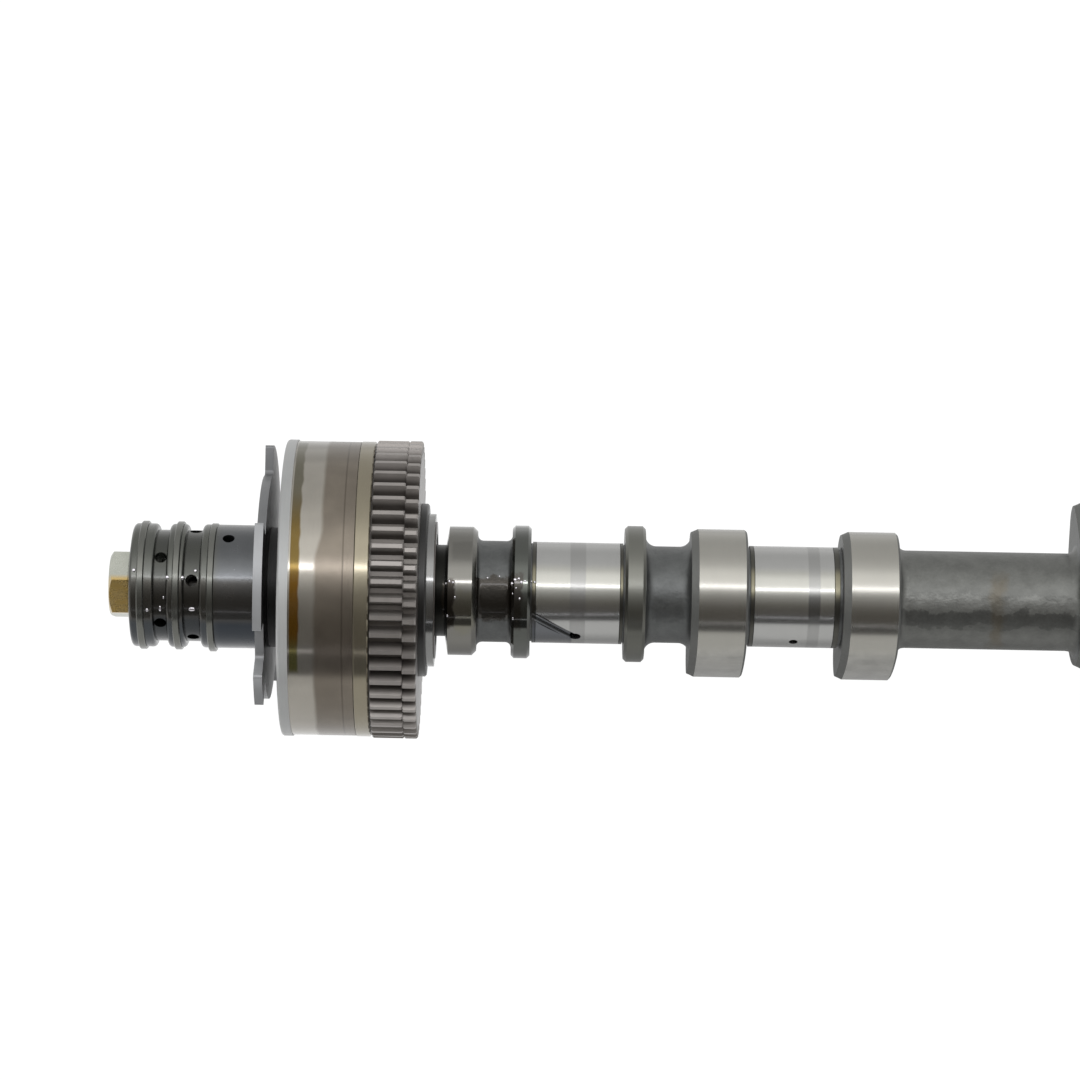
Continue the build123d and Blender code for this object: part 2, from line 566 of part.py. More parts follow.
def sealing_ring(station, drop):
    """A split steel ring that lies loosely in its groove and stands proud of the snout."""
    half = RING_WIDTH / 2
    ring = bar(RING_OUTER_RADIUS, station - half, station + half)
    ring = chamfer(ring.edges().filter_by(GeomType.CIRCLE), RING_EDGE_WIDTH)
    ring -= bar(RING_INNER_RADIUS, station - half, station + half)
    saw = Pos(station, RING_OUTER_RADIUS, 0) * Box(RING_WIDTH, RING_OUTER_RADIUS, RING_SPLIT_WIDTH)
    return Pos(0, 0, -drop) * (ring - Rot(RING_SPLIT_ANGLE, 0, 0) * saw)


def trigger_wheel():
    """The stepped wheel that a sensor reads, with its oil holes."""
    section = Circle(WHEEL_LOW_RADIUS)
    for first, last in WHEEL_SECTORS:
        root = WHEEL_LOW_RADIUS - CUT_MARGIN
        section += sector(root, WHEEL_RADIUS, (first + last) / 2, last - first)
    section = fillet(corners_at(section, WHEEL_RADIUS), WHEEL_CORNER_ROUNDING)
    section = fillet(corners_at(section, WHEEL_LOW_RADIUS), WHEEL_ROOT_ROUNDING)
    section -= Circle(OIL_ANNULUS_RADIUS)
    for angle in feed_angles(FRONT_FEED_ANGLE):
        section -= Pos(*polar(PASSAGE_CIRCLE_RADIUS, angle)) * Circle(PASSAGE_RADIUS)
    return prism(section, WHEEL_FRONT, BOSS_FRONT) - wheel_dowels(PRESS_GAP)


def wheel_dowels(room=0.0):
    """The two dowels that hold the trigger wheel between snout and rotor, or with room their holes."""
    end_room = DOWEL_END_GAP if room else 0.0
    front = WHEEL_FRONT - WHEEL_DOWEL_DEPTH - end_room
    rear = BOSS_FRONT + WHEEL_DOWEL_DEPTH + end_room
    dowels = Part()
    for angle in WHEEL_DOWEL_ANGLES:
        dowels += pin_at(WHEEL_DOWEL_CIRCLE_RADIUS, angle, WHEEL_DOWEL_RADIUS + room, front, rear)
    return dowels


def rotor():
    """The vaned rotor with its front and rear bosses, oil ports and lock-pin bore."""
    front = CHAMBER_FRONT + SIDE_GAP
    rear = CHAMBER_REAR - SIDE_GAP
    section = Circle(ROTOR_HUB_RADIUS)
    tip = CHAMBER_RADIUS - VANE_TIP_GAP
    slot_floor = CHAMBER_RADIUS - SEAL_TIP_GAP - SEAL_HEIGHT - SEAL_SPRING_HEIGHT
    slot_width = SEAL_WIDTH + 2 * SEAL_SLOT_GAP
    for angle in VANE_ANGLES:
        section += sector(ROTOR_HUB_RADIUS - CUT_MARGIN, tip, angle, VANE_SWEEP)
    for angle in VANE_ANGLES:
        slot = Rectangle(CHAMBER_RADIUS, slot_width, align=(Align.MIN, Align.CENTER))
        section -= Rot(0, 0, angle) * Pos(slot_floor, 0) * slot
    body = prism(section, front, rear)
    body += bar(BOSS_RADIUS, BOSS_FRONT, front)
    body += bar(REAR_BOSS_RADIUS, rear, HUB_REAR - REAR_BOSS_GAP)

    body -= bar(OIL_ANNULUS_RADIUS, BOSS_FRONT, BOLT_PILOT_FRONT)
    body -= bar(THREAD_RADIUS + RUNNING_GAP, BOLT_PILOT_FRONT, NOSE_FRONT)
    body -= bar(NOSE_RADIUS + PRESS_GAP, NOSE_FRONT, HUB_REAR)
    ring_way = Circle(PASSAGE_CIRCLE_RADIUS + PASSAGE_RADIUS)
    ring_way -= Circle(PASSAGE_CIRCLE_RADIUS - PASSAGE_RADIUS)
    body -= prism(ring_way, BOSS_FRONT, BOSS_FRONT + FRONT_RING_WAY_DEPTH)
    for angle in VANE_ANGLES:
        low = angle - PORT_ANGLE
        high = angle + PORT_ANGLE
        port_end = ROTOR_HUB_RADIUS + 2 * OIL_HOLE_RADIUS
        body -= pin_at(PASSAGE_CIRCLE_RADIUS, low, PASSAGE_RADIUS, BOSS_FRONT, RETARD_PORT_STATION)
        body -= drilling(RETARD_PORT_STATION, low, PASSAGE_RADIUS, PASSAGE_CIRCLE_RADIUS, port_end)
        body -= drilling(ADVANCE_PORT_STATION, high, PASSAGE_RADIUS, 0, port_end)
    bore_front = rear - LOCK_BORE_DEPTH
    body -= pin_at(LOCK_CIRCLE_RADIUS, VANE_ANGLES[0], LOCK_PIN_RADIUS + RUNNING_GAP, bore_front, rear)
    return body - wheel_dowels(PRESS_GAP) - nose_dowel(PRESS_GAP)


def vane_seals():
    """The strips that seal each vane's tip against the chamber wall."""
    length = CHAMBER_REAR - CHAMBER_FRONT - 4 * SIDE_GAP
    middle = (CHAMBER_FRONT + CHAMBER_REAR) / 2
    height = CHAMBER_RADIUS - SEAL_TIP_GAP - SEAL_HEIGHT / 2
    strip = Pos(middle, height, 0) * Box(length, SEAL_HEIGHT, SEAL_WIDTH)
    return Part() + [Rot(angle, 0, 0) * strip for angle in VANE_ANGLES]


def vane_seal_springs():
    """A bowed leaf under each seal: its ends rest on the slot's floor, its middle lifts the seal."""
    floor = CHAMBER_RADIUS - SEAL_TIP_GAP - SEAL_HEIGHT - SEAL_SPRING_HEIGHT
    front = CHAMBER_FRONT + SEAL_SPRING_END_DISTANCE
    rear = CHAMBER_REAR - SEAL_SPRING_END_DISTANCE
    middle = (front + rear) / 2
    crown = floor + SEAL_SPRING_HEIGHT - SEAL_SPRING_THICKNESS
    under = ThreePointArc((front, floor), (middle, crown), (rear, floor))
    over = Pos(0, SEAL_SPRING_THICKNESS) * under
    front_end = Line(under @ 0, over @ 0)
    rear_end = Line(under @ 1, over @ 1)
    width = SEAL_WIDTH - 2 * SEAL_SLOT_GAP
    leaf = extrude(make_face([under, rear_end, over, front_end]), width / 2, both=True)
    return Part() + [Rot(angle, 0, 0) * leaf for angle in VANE_ANGLES]


def lock_pin():
    """The hollow pin that locks rotor and housing together, drawn back into its vane."""
    rear = CHAMBER_REAR - SIDE_GAP - LOCK_PIN_RETREAT_LENGTH
    front = rear - LOCK_PIN_LENGTH
    pin = pin_at(LOCK_CIRCLE_RADIUS, VANE_ANGLES[0], LOCK_PIN_RADIUS, front, rear)
    hollow_end = front + LOCK_PIN_HOLLOW_DEPTH
    return pin - pin_at(LOCK_CIRCLE_RADIUS, VANE_ANGLES[0], LOCK_PIN_HOLLOW_RADIUS, front, hollow_end)


def lock_spring():
    """The coil spring between the lock pin and the floor of its bore."""
    rear = CHAMBER_REAR - SIDE_GAP - LOCK_PIN_RETREAT_LENGTH - LOCK_PIN_LENGTH + LOCK_PIN_HOLLOW_DEPTH
    front = CHAMBER_REAR - SIDE_GAP - LOCK_BORE_DEPTH
    half_wire = LOCK_SPRING_WIRE_WIDTH / 2
    height = rear - front - 2 * LOCK_SPRING_WIRE_WIDTH
    radius = LOCK_PIN_HOLLOW_RADIUS - LOCK_SPRING_WIRE_WIDTH
    path = Helix(height / LOCK_SPRING_TURNS, height, radius)
    wire = Rectangle(LOCK_SPRING_WIRE_WIDTH, LOCK_SPRING_WIRE_WIDTH)
    section = Plane(origin=path @ 0, z_dir=path % 0) * wire
    coil = sweep(section, path, is_frenet=True)
    y, z = polar(LOCK_CIRCLE_RADIUS, VANE_ANGLES[0])
    return Pos(front + half_wire * 2, y, z) * Rot(0, 90, 0) * coil


def lock_bush(room=0.0):
    """The hardened bush in the sealing plate that takes the lock pin, or with room its seat."""
    outer = LOCK_PIN_RADIUS + LOCK_BUSH_WALL + room
    rear = CHAMBER_REAR + LOCK_BUSH_DEPTH + room
    bush = pin_at(LOCK_CIRCLE_RADIUS, VANE_ANGLES[0], outer, CHAMBER_REAR, rear)
    if room:
        return bush
    bore = LOCK_PIN_RADIUS + RUNNING_GAP
    return bush - pin_at(LOCK_CIRCLE_RADIUS, VANE_ANGLES[0], bore, CHAMBER_REAR, rear)


def screw_holes(start, end, gap=SCREW_HOLE_GAP):
    """Holes for the cover screws through one plate, one beside the middle of each housing lobe."""
    holes = Part()
    for angle in LOBE_ANGLES:
        holes += pin_at(SCREW_CIRCLE_RADIUS, angle, SCREW_RADIUS + gap, start, end)
    return holes


def stator_housing():
    """The chamber ring: its inner lobes part the oil chambers and take the screws."""
    section = Circle(HOUSING_RADIUS) - Circle(CHAMBER_RADIUS)
    lobe_sweep = FULL_TURN / VANES - CHAMBER_SWEEP
    for angle in LOBE_ANGLES:
        section += sector(ROTOR_HUB_RADIUS + RUNNING_GAP, CHAMBER_RADIUS + CUT_MARGIN, angle, lobe_sweep)
    return prism(section, CHAMBER_FRONT, CHAMBER_REAR) - screw_holes(CHAMBER_FRONT, CHAMBER_REAR)


def screw_head_cone(room=0.0):
    """The countersunk head's cone, or with room its seat, standing at the screw circle's top."""
    depth = SCREW_HEAD_RADIUS - SCREW_RADIUS
    cone = Cone(
        SCREW_HEAD_RADIUS + room,
        SCREW_RADIUS + room,
        depth,
        align=(Align.CENTER, Align.CENTER, Align.MIN),
    )
    return Rot(0, 90, 0) * cone


def at_screws(shape, station):
    """Copies of a shape on the screw circle, one for each screw."""
    return [Pos(station, *polar(SCREW_CIRCLE_RADIUS, angle)) * shape for angle in LOBE_ANGLES]


def front_cover():
    """The chamber's front cover, with a rounded rim and countersunk screw seats."""
    round_start = COVER_RADIUS - COVER_ROUNDING
    dip = COVER_ROUNDING * (1 - sqrt(0.5))
    front_edge = (COVER_FRONT, round_start)
    rim_edge = (COVER_FRONT + COVER_ROUNDING, COVER_RADIUS)
    rounding = ThreePointArc(front_edge, (COVER_FRONT + dip, COVER_RADIUS - dip), rim_edge)
    rest = Polyline(
        rim_edge,
        (CHAMBER_FRONT, COVER_RADIUS),
        (CHAMBER_FRONT, 0),
        (COVER_FRONT, 0),
        front_edge,
    )
    disc = revolve(make_face([rounding, rest]), Axis.X)
    disc -= bar(BOSS_RADIUS + RUNNING_GAP, COVER_FRONT, CHAMBER_FRONT)
    disc -= screw_holes(COVER_FRONT, CHAMBER_FRONT)
    seat = screw_head_cone(SCREW_HOLE_GAP)
    mouth = Rot(0, 90, 0) * Cylinder(SCREW_HEAD_RADIUS + SCREW_HOLE_GAP, 2 * SCREW_SINK_DEPTH)
    return disc - at_screws(seat, COVER_FRONT + SCREW_SINK_DEPTH) - at_screws(mouth, COVER_FRONT)


def cover_screws():
    """The flush screws that hold cover, housing and sealing plate to the main gear."""
    head_front = COVER_FRONT + SCREW_SINK_DEPTH
    socket = RegularPolygon(SCREW_SOCKET_RADIUS, 6)
    screws = Part() + at_screws(screw_head_cone(), head_front)
    neck_front = head_front + SCREW_HEAD_RADIUS - SCREW_RADIUS
    for angle in LOBE_ANGLES:
        screws += pin_at(SCREW_CIRCLE_RADIUS, angle, SCREW_RADIUS, neck_front, SCREW_END)
    for angle in LOBE_ANGLES:
        place = Pos(*polar(SCREW_CIRCLE_RADIUS, angle))
        screws -= prism(place * socket, head_front, head_front + SCREW_SOCKET_DEPTH)
    return screws


def sealing_plate():
    """The plate that closes the chambers in front of the main gear."""
    disc = turned(
        (CHAMBER_REAR, PLATE_RADIUS - PLATE_CHAMFER),
        (CHAMBER_REAR + PLATE_CHAMFER, PLATE_RADIUS),
        (GEAR_FRONT - PLATE_CHAMFER, PLATE_RADIUS),
        (GEAR_FRONT, PLATE_RADIUS - PLATE_CHAMFER),
    )
    disc -= bar(REAR_BOSS_RADIUS + RUNNING_GAP, CHAMBER_REAR, GEAR_FRONT)
    return disc - screw_holes(CHAMBER_REAR, GEAR_FRONT) - lock_bush(PRESS_GAP)


def involute(angle):
    """The involute function, in radians."""
    return tan(angle) - angle


def half_tooth(radius):
    """Half the angle, in degrees, that a tooth fills at a distance from the axis."""
    base_radius = PITCH_RADIUS * cos(radians(PRESSURE_ANGLE))
    here = involute(acos(base_radius / radius))
    return degrees(pi / (2 * TEETH) + involute(radians(PRESSURE_ANGLE)) - here)


def gear_section(first_angle):
    """The outline of all the teeth, each with two involute flanks."""
    root_half = half_tooth(ROOT_RADIUS)
    pitch_half = half_tooth(PITCH_RADIUS)
    tip_half = half_tooth(TIP_RADIUS)
    step = FULL_TURN / TEETH
    outline = []
    for tooth in range(TEETH):
        middle = first_angle + step * tooth
        rise_root = polar(ROOT_RADIUS, middle - root_half)
        rise_tip = polar(TIP_RADIUS, middle - tip_half)
        fall_tip = polar(TIP_RADIUS, middle + tip_half)
        fall_root = polar(ROOT_RADIUS, middle + root_half)
        next_root = polar(ROOT_RADIUS, middle + step - root_half)
        outline.append(ThreePointArc(rise_root, polar(PITCH_RADIUS, middle - pitch_half), rise_tip))
        outline.append(Line(rise_tip, fall_tip))
        outline.append(ThreePointArc(fall_tip, polar(PITCH_RADIUS, middle + pitch_half), fall_root))
        outline.append(Line(fall_root, next_root))
    return make_face(outline)


def toothed_rim(first_angle, start, end):
    """Teeth from one station to another, with their end corners chamfered."""
    blank = turned(
        (start, TIP_RADIUS - TOOTH_TIP_CHAMFER),
        (start + TOOTH_TIP_CHAMFER, TIP_RADIUS),
        (end - TOOTH_TIP_CHAMFER, TIP_RADIUS),
        (end, TIP_RADIUS - TOOTH_TIP_CHAMFER),
    )
    return prism(gear_section(first_angle), start, end) & blank


def spring_pocket():
    """The round pocket in the main gear's rear face that holds the open spring ring."""
    return prism(
        Circle(SPRING_POCKET_OUTER_RADIUS) - Circle(SPRING_POCKET_INNER_RADIUS),
        SPLIT_FACE - SPRING_POCKET_DEPTH,
        SPLIT_FACE,
    )


def main_gear():
    """The driven gear, which closes the phaser and carries the narrow gear on its hub."""
    gear = toothed_rim(FIRST_TOOTH_ANGLE, GEAR_FRONT + TEETH_STEP_WIDTH, SPLIT_FACE)
    gear += bar(TEETH_STEP_RADIUS, GEAR_FRONT, GEAR_FRONT + TEETH_STEP_WIDTH)
    gear += bar(GEAR_HUB_RADIUS, SPLIT_FACE, SNAP_RING_FRONT)
    gear += bar(SNAP_RING_GROOVE_RADIUS - PRESS_GAP, SNAP_RING_FRONT, HUB_REAR)
    gear += bar(GEAR_HUB_RADIUS, HUB_REAR - SNAP_RING_LAND_WIDTH, HUB_REAR)
    gear -= bar(REAR_BOSS_RADIUS + RUNNING_GAP, GEAR_FRONT, HUB_REAR)
    gear -= spring_pocket()
    gear -= screw_holes(GEAR_FRONT, SCREW_END + DOWEL_END_GAP, PRESS_GAP)
    return gear - main_spring_pin(PRESS_GAP)


def scissor_gear():
    """The narrow gear with the same teeth, turned back a little by its spring when out of mesh."""
    front = SPLIT_FACE + SIDE_GAP
    rear = THRUST_PLATE_FRONT - SIDE_GAP
    gear = toothed_rim(FIRST_TOOTH_ANGLE + SCISSOR_OFFSET_ANGLE, front, rear)
    gear -= bar(GEAR_HUB_RADIUS + RUNNING_GAP, front, rear)
    slot_radius = SPRING_PIN_RADIUS + 2 * RUNNING_GAP
    slot = Part()
    for turn in (0, SCISSOR_OFFSET_ANGLE / 2, SCISSOR_OFFSET_ANGLE):
        slot += pin_at(SPRING_CIRCLE_RADIUS, MAIN_PIN_ANGLE + turn, slot_radius, front, rear)
    return gear - slot - scissor_spring_pin(PRESS_GAP)


def main_spring_pin(room=0.0):
    """The pin in the main gear that holds one end of the spring and stops the narrow gear."""
    front = SPLIT_FACE - SPRING_POCKET_DEPTH - SPRING_PIN_DEPTH
    rear = THRUST_PLATE_FRONT - 4 * SIDE_GAP
    return pin_at(SPRING_CIRCLE_RADIUS, MAIN_PIN_ANGLE, SPRING_PIN_RADIUS + room, front, rear)


def scissor_spring_pin(room=0.0):
    """The pin in the narrow gear that holds the spring's other end."""
    front = SPLIT_FACE - SPRING_POCKET_DEPTH + 4 * SIDE_GAP
    rear = THRUST_PLATE_FRONT - 4 * SIDE_GAP
    return pin_at(SPRING_CIRCLE_RADIUS, SCISSOR_PIN_ANGLE, SPRING_PIN_RADIUS + room, front, rear)


def scissor_spring():
    """The open ring spring in the pocket between the two gears, with a hole at each end."""
    inner = SPRING_POCKET_INNER_RADIUS + SPRING_RING_GAP
    outer = SPRING_POCKET_OUTER_RADIUS - SPRING_RING_GAP
    sweep_angle = FULL_TURN - SPRING_RING_OPENING_ANGLE
    ring = sector(inner, outer, SPRING_MIDDLE_ANGLE + FULL_TURN / 2, sweep_angle)
    hole = Circle(SPRING_PIN_RADIUS + RUNNING_GAP)
    ring -= Pos(*polar(SPRING_CIRCLE_RADIUS, MAIN_PIN_ANGLE)) * hole
    ring -= Pos(*polar(SPRING_CIRCLE_RADIUS, SCISSOR_PIN_ANGLE)) * hole
    front = SPLIT_FACE - SPRING_POCKET_DEPTH + SIDE_GAP
    return prism(ring, front, front + SPRING_POCKET_DEPTH - SPRING_RING_GAP)


def thrust_plate():
    """The dark plate that keeps the narrow gear against the main gear."""
    disc = turned(
        (THRUST_PLATE_FRONT, THRUST_PLATE_RADIUS),
        (SNAP_RING_FRONT - THRUST_PLATE_CHAMFER, THRUST_PLATE_RADIUS),
        (SNAP_RING_FRONT, THRUST_PLATE_RADIUS - THRUST_PLATE_CHAMFER),
    )
    return disc - bar(GEAR_HUB_RADIUS + RUNNING_GAP, THRUST_PLATE_FRONT, SNAP_RING_FRONT)


def snap_ring():
    """The open ring in the hub's groove that holds the thrust plate."""
    sweep_angle = FULL_TURN - SNAP_RING_OPENING_ANGLE
    ring = sector(
        SNAP_RING_GROOVE_RADIUS,
        SNAP_RING_RADIUS,
        SNAP_RING_ANGLE + FULL_TURN / 2,
        sweep_angle,
    )
    return prism(ring, SNAP_RING_FRONT, SNAP_RING_REAR)


NODES = {
    "camshaft": camshaft,
    "gallery_plug": gallery_plug,
    "central_bolt": central_bolt,
    "nose_dowel": nose_dowel,
    "ring_carrier": ring_carrier,
    "trigger_wheel": trigger_wheel,
    "wheel_dowels": wheel_dowels,
    "rotor": rotor,
    "vane_seals": vane_seals,
    "vane_seal_springs": vane_seal_springs,
    "lock_pin": lock_pin,
    "lock_spring": lock_spring,
    "lock_bush": lock_bush,
    "stator_housing": stator_housing,
    "front_cover": front_cover,
    "cover_screws": cover_screws,
    "sealing_plate": sealing_plate,
    "main_gear": main_gear,
    "scissor_gear": scissor_gear,
    "main_spring_pin": main_spring_pin,
    "scissor_spring_pin": scissor_spring_pin,
    "scissor_spring": scissor_spring,
    "thrust_plate": thrust_plate,
    "snap_ring": snap_ring,
}

os.makedirs("parts", exist_ok=True)
for node, make in NODES.items():
    export_step(make(), f"parts/{node}.step")
for number, (station, drop) in enumerate(zip(RING_STATIONS, RING_DROPS), start=1):
    export_step(sealing_ring(station, drop), f"parts/sealing_ring_{number}.step")
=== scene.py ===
"""The camshaft's looks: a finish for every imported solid, the oil on it, its floor, lights and camera.

Metres. +X runs along the shaft from the oil snout to its rear end, +Z is up, and the origin is the centre
of the thrust journal. In the finishes, places are in millimetres along the shaft, and an angle round it is
counted in degrees from the line that faces the camera, upwards.
"""

import json
from math import cos, degrees, pi, radians, sin

import bmesh
import bpy
from bpy.props import FloatProperty, FloatVectorProperty, PointerProperty
from bpy.types import Operator, Panel, PropertyGroup
from mathutils import Euler, Matrix, Vector


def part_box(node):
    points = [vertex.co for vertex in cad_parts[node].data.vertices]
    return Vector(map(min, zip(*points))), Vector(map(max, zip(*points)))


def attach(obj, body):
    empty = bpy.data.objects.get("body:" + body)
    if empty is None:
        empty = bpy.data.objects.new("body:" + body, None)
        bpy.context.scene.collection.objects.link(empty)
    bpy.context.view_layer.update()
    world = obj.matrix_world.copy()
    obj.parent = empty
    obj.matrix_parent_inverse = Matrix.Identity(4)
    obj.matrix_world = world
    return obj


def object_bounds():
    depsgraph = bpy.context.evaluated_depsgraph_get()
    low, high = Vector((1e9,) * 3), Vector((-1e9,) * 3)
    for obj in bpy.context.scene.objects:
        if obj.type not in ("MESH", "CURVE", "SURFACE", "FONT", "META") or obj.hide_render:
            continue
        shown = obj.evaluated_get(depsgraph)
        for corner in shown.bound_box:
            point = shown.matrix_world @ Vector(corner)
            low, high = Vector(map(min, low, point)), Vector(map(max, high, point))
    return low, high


bl_info = {
    "name": "Camshaft looks",
    "version": (1, 0, 0),
    "blender": (4, 5, 0),
    "location": "3D Viewport > Sidebar > Camshaft",
    "description": "Gives the packed camshaft its finishes, oil drops and studio",
    "category": "Object",
}

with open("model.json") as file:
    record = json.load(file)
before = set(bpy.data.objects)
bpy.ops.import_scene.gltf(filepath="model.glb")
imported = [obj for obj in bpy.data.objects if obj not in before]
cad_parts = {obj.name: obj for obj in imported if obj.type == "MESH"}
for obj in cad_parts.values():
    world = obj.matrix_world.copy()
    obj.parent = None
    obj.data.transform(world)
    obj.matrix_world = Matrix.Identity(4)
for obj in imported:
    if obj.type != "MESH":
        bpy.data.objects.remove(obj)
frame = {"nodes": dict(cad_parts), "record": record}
SOLIDS_BOX = [list(corner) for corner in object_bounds()]

MM = 0.001
VIEW_ELEVATION = radians(42.2)


# Measures read from the frame

def node_span(node):
    """The first and last station of a node along the shaft, in millimetres."""
    low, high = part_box(node)
    return low.x / MM, high.x / MM


def mount_station(name):
    """The station of one of the record's mounts, in millimetres."""
    mounts = {mount["name"]: mount for mount in frame["record"]["mounts"]}
    return mounts[name]["pos_m"][0] / MM


FIRST_PAIR = mount_station("pair_journal_1")
CYLINDER_PITCH = mount_station("pair_journal_2") - FIRST_PAIR
STUB_LENGTH = 11.0
STUB_FRONT = node_span("camshaft")[1] - STUB_LENGTH

# A distance from the axis, in metres, that lies outside every piece
CLEAR_OF_ALL = 2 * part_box("main_gear")[1].z

# Stations and widths on the camshaft, in millimetres from the middle of its thrust journal
JOURNAL_HALF = 12.5
RELIEF_WIDTH = 0.45
FLANGE_REAR = 18.65
FLANGE_FRONT = -18.15
COLLAR = (-36.5, -27.8)
COLLAR_FLAT = (-34.6, -29.0)
THRUST_POLISH = (-11.5, 11.7)
THRUST_STRIPE = (-2.1, 2.2)
DULL_PATCH = (-12.4, -1.4)
BEHIND_FLANGES = (22.0, 24.0)
TUBES_BEGIN = (62.0, 64.0)
TUBES = (60.0, 330.0)
RUSTY_STAIN = (113.6, 117.4)

# Distances from the middle of a pair of lobes, in millimetres
PAIR_JOURNAL_HALF = 12.25
LOBE_INNER = 13.1
LOBE_OUTER = 28.6
PAIR_POLISH = (-11.2, 10.8)
PAIR_STRIPE = (3.6, 6.8)

# The slanting groove on the thrust journal: where it starts, its slope in degrees to a millimetre, and the
# radii between which its floor turns into the journal's face
GROOVE_START = -13.0
GROOVE_SLOPE = 2.83
GROOVE_EDGE = (13.55, 13.85)

# The snout's stations where its olive end stops, and the radii between which its channels end
OLIVE_END = (-101.0, -97.5)
CHANNEL_EDGE = (15.9, 16.9)

# Radii of the gears' teeth, in millimetres
TOOTH_ROOT = 37.9
TOOTH_TIP = 41.25


# Sizes and colours that a user would change

def colour(name, description, default):
    """A colour setting."""
    return FloatVectorProperty(name=name, description=description, default=default, subtype="COLOR", size=3,
                               min=0.0, max=1.0)


def length(name, description, default):
    """A length setting, in metres."""
    return FloatProperty(name=name, description=description, default=default, unit="LENGTH", precision=5)


class ShaftFinish(PropertyGroup):
    """Colours of the camshaft's casting and of its ground faces."""

    journal: colour("Journals", "Polished bearing bands", (0.345, 0.345, 0.335))
    # Painted highlight: a warm tint on the journals' lit side, round the strip lamp's line
    journal_highlight_tint: colour("Journals, oiled", "Thin oil film on their lit side", (0.35, 0.348, 0.318))
    journal_rim: colour("Journal rims", "Ends of the journals", (0.075, 0.074, 0.064))
    # Painted highlight: the journal rims are drawn golden on their lit side only
    journal_rim_highlight: colour("Journal rims, oiled", "Thin oil on their lit side", (0.165, 0.155, 0.11))
    groove: colour("Journal groove", "Floor of the oil groove", (0.06, 0.063, 0.065))
    dull_patch: colour("Dull patch", "Dull face under the oil groove", (0.075, 0.08, 0.09))
    lobe: colour("Lobes", "Ground cam faces", (0.305, 0.298, 0.27))
    # Painted reflection: the floor's white as seen in the cam faces' lower side
    lower_lobe_reflection: colour("Lobes, low", "Cam faces that mirror the floor", (0.42, 0.415, 0.385))
    bevel: colour("Bevels", "Slanting edges of the lobes", (0.13, 0.132, 0.125))
    casting: colour("Casting", "Rough cast necks", (0.13, 0.135, 0.133))
    tube: colour("Tube", "Cast tube between the cylinders", (0.123, 0.125, 0.117))
    # Painted shadow: the nose in front of the collar is drawn near black
    nose: colour("Nose", "Dark nose in front of the collar", (0.014, 0.014, 0.012))
    collar: colour("Collar", "Ground collar", (0.162, 0.158, 0.144))
    oily_flange: colour("Front flange", "Flange that oil has wetted", (0.062, 0.066, 0.058))
    rear_flange: colour("Rear flange", "Flange behind the thrust journal", (0.15, 0.151, 0.134))
    stub: colour("Stub", "Turned stub at the rear end", (0.26, 0.26, 0.25))
    plug: colour("Plug", "Pressed cup in the rear end", (0.45, 0.45, 0.46))
    oil: colour("Oil", "Brown oil film in the corners", (0.018, 0.014, 0.009))
    olive_oil: colour("Olive oil", "Thin oil on the collar", (0.165, 0.158, 0.115))
    rust: colour("Rust", "Faint stain on the first tube", (0.1, 0.078, 0.045))
    casting_grain: length("Casting grain", "Size of the sand grain on the cast faces", 0.0007)
    grinding_pitch: length("Grinding pitch", "Distance between the grinding marks", 0.00012)


class SnoutFinish(PropertyGroup):
    """Colours of the oil snout, its rings and the bolt."""

    body: colour("Snout", "Dark blue-grey snout", (0.112, 0.117, 0.122))
    olive_end: colour("Snout, olive end", "Tint round the rings", (0.088, 0.09, 0.066))
    brown_side: colour("Snout, brown side", "Brown oil at mid height", (0.05, 0.044, 0.036))
    # Painted shade: the snout's lower side is drawn bluish dark
    low_side_shade: colour("Snout, low side", "Bluish lower side", (0.022, 0.027, 0.034))
    ring: colour("Rings", "Split sealing rings", (0.128, 0.13, 0.118))
    bolt: colour("Bolt", "Pale plated bolt head", (0.42, 0.43, 0.38))
    # Painted shade: the shank inside the snout is drawn near black
    shank_shade: colour("Bolt shank", "Oily shank", (0.02, 0.018, 0.014))
    amber: colour("Amber oil", "Thin amber oil", (0.125, 0.084, 0.022))
    drop: colour("Oil drops", "Drops that catch the light", (0.62, 0.6, 0.63))


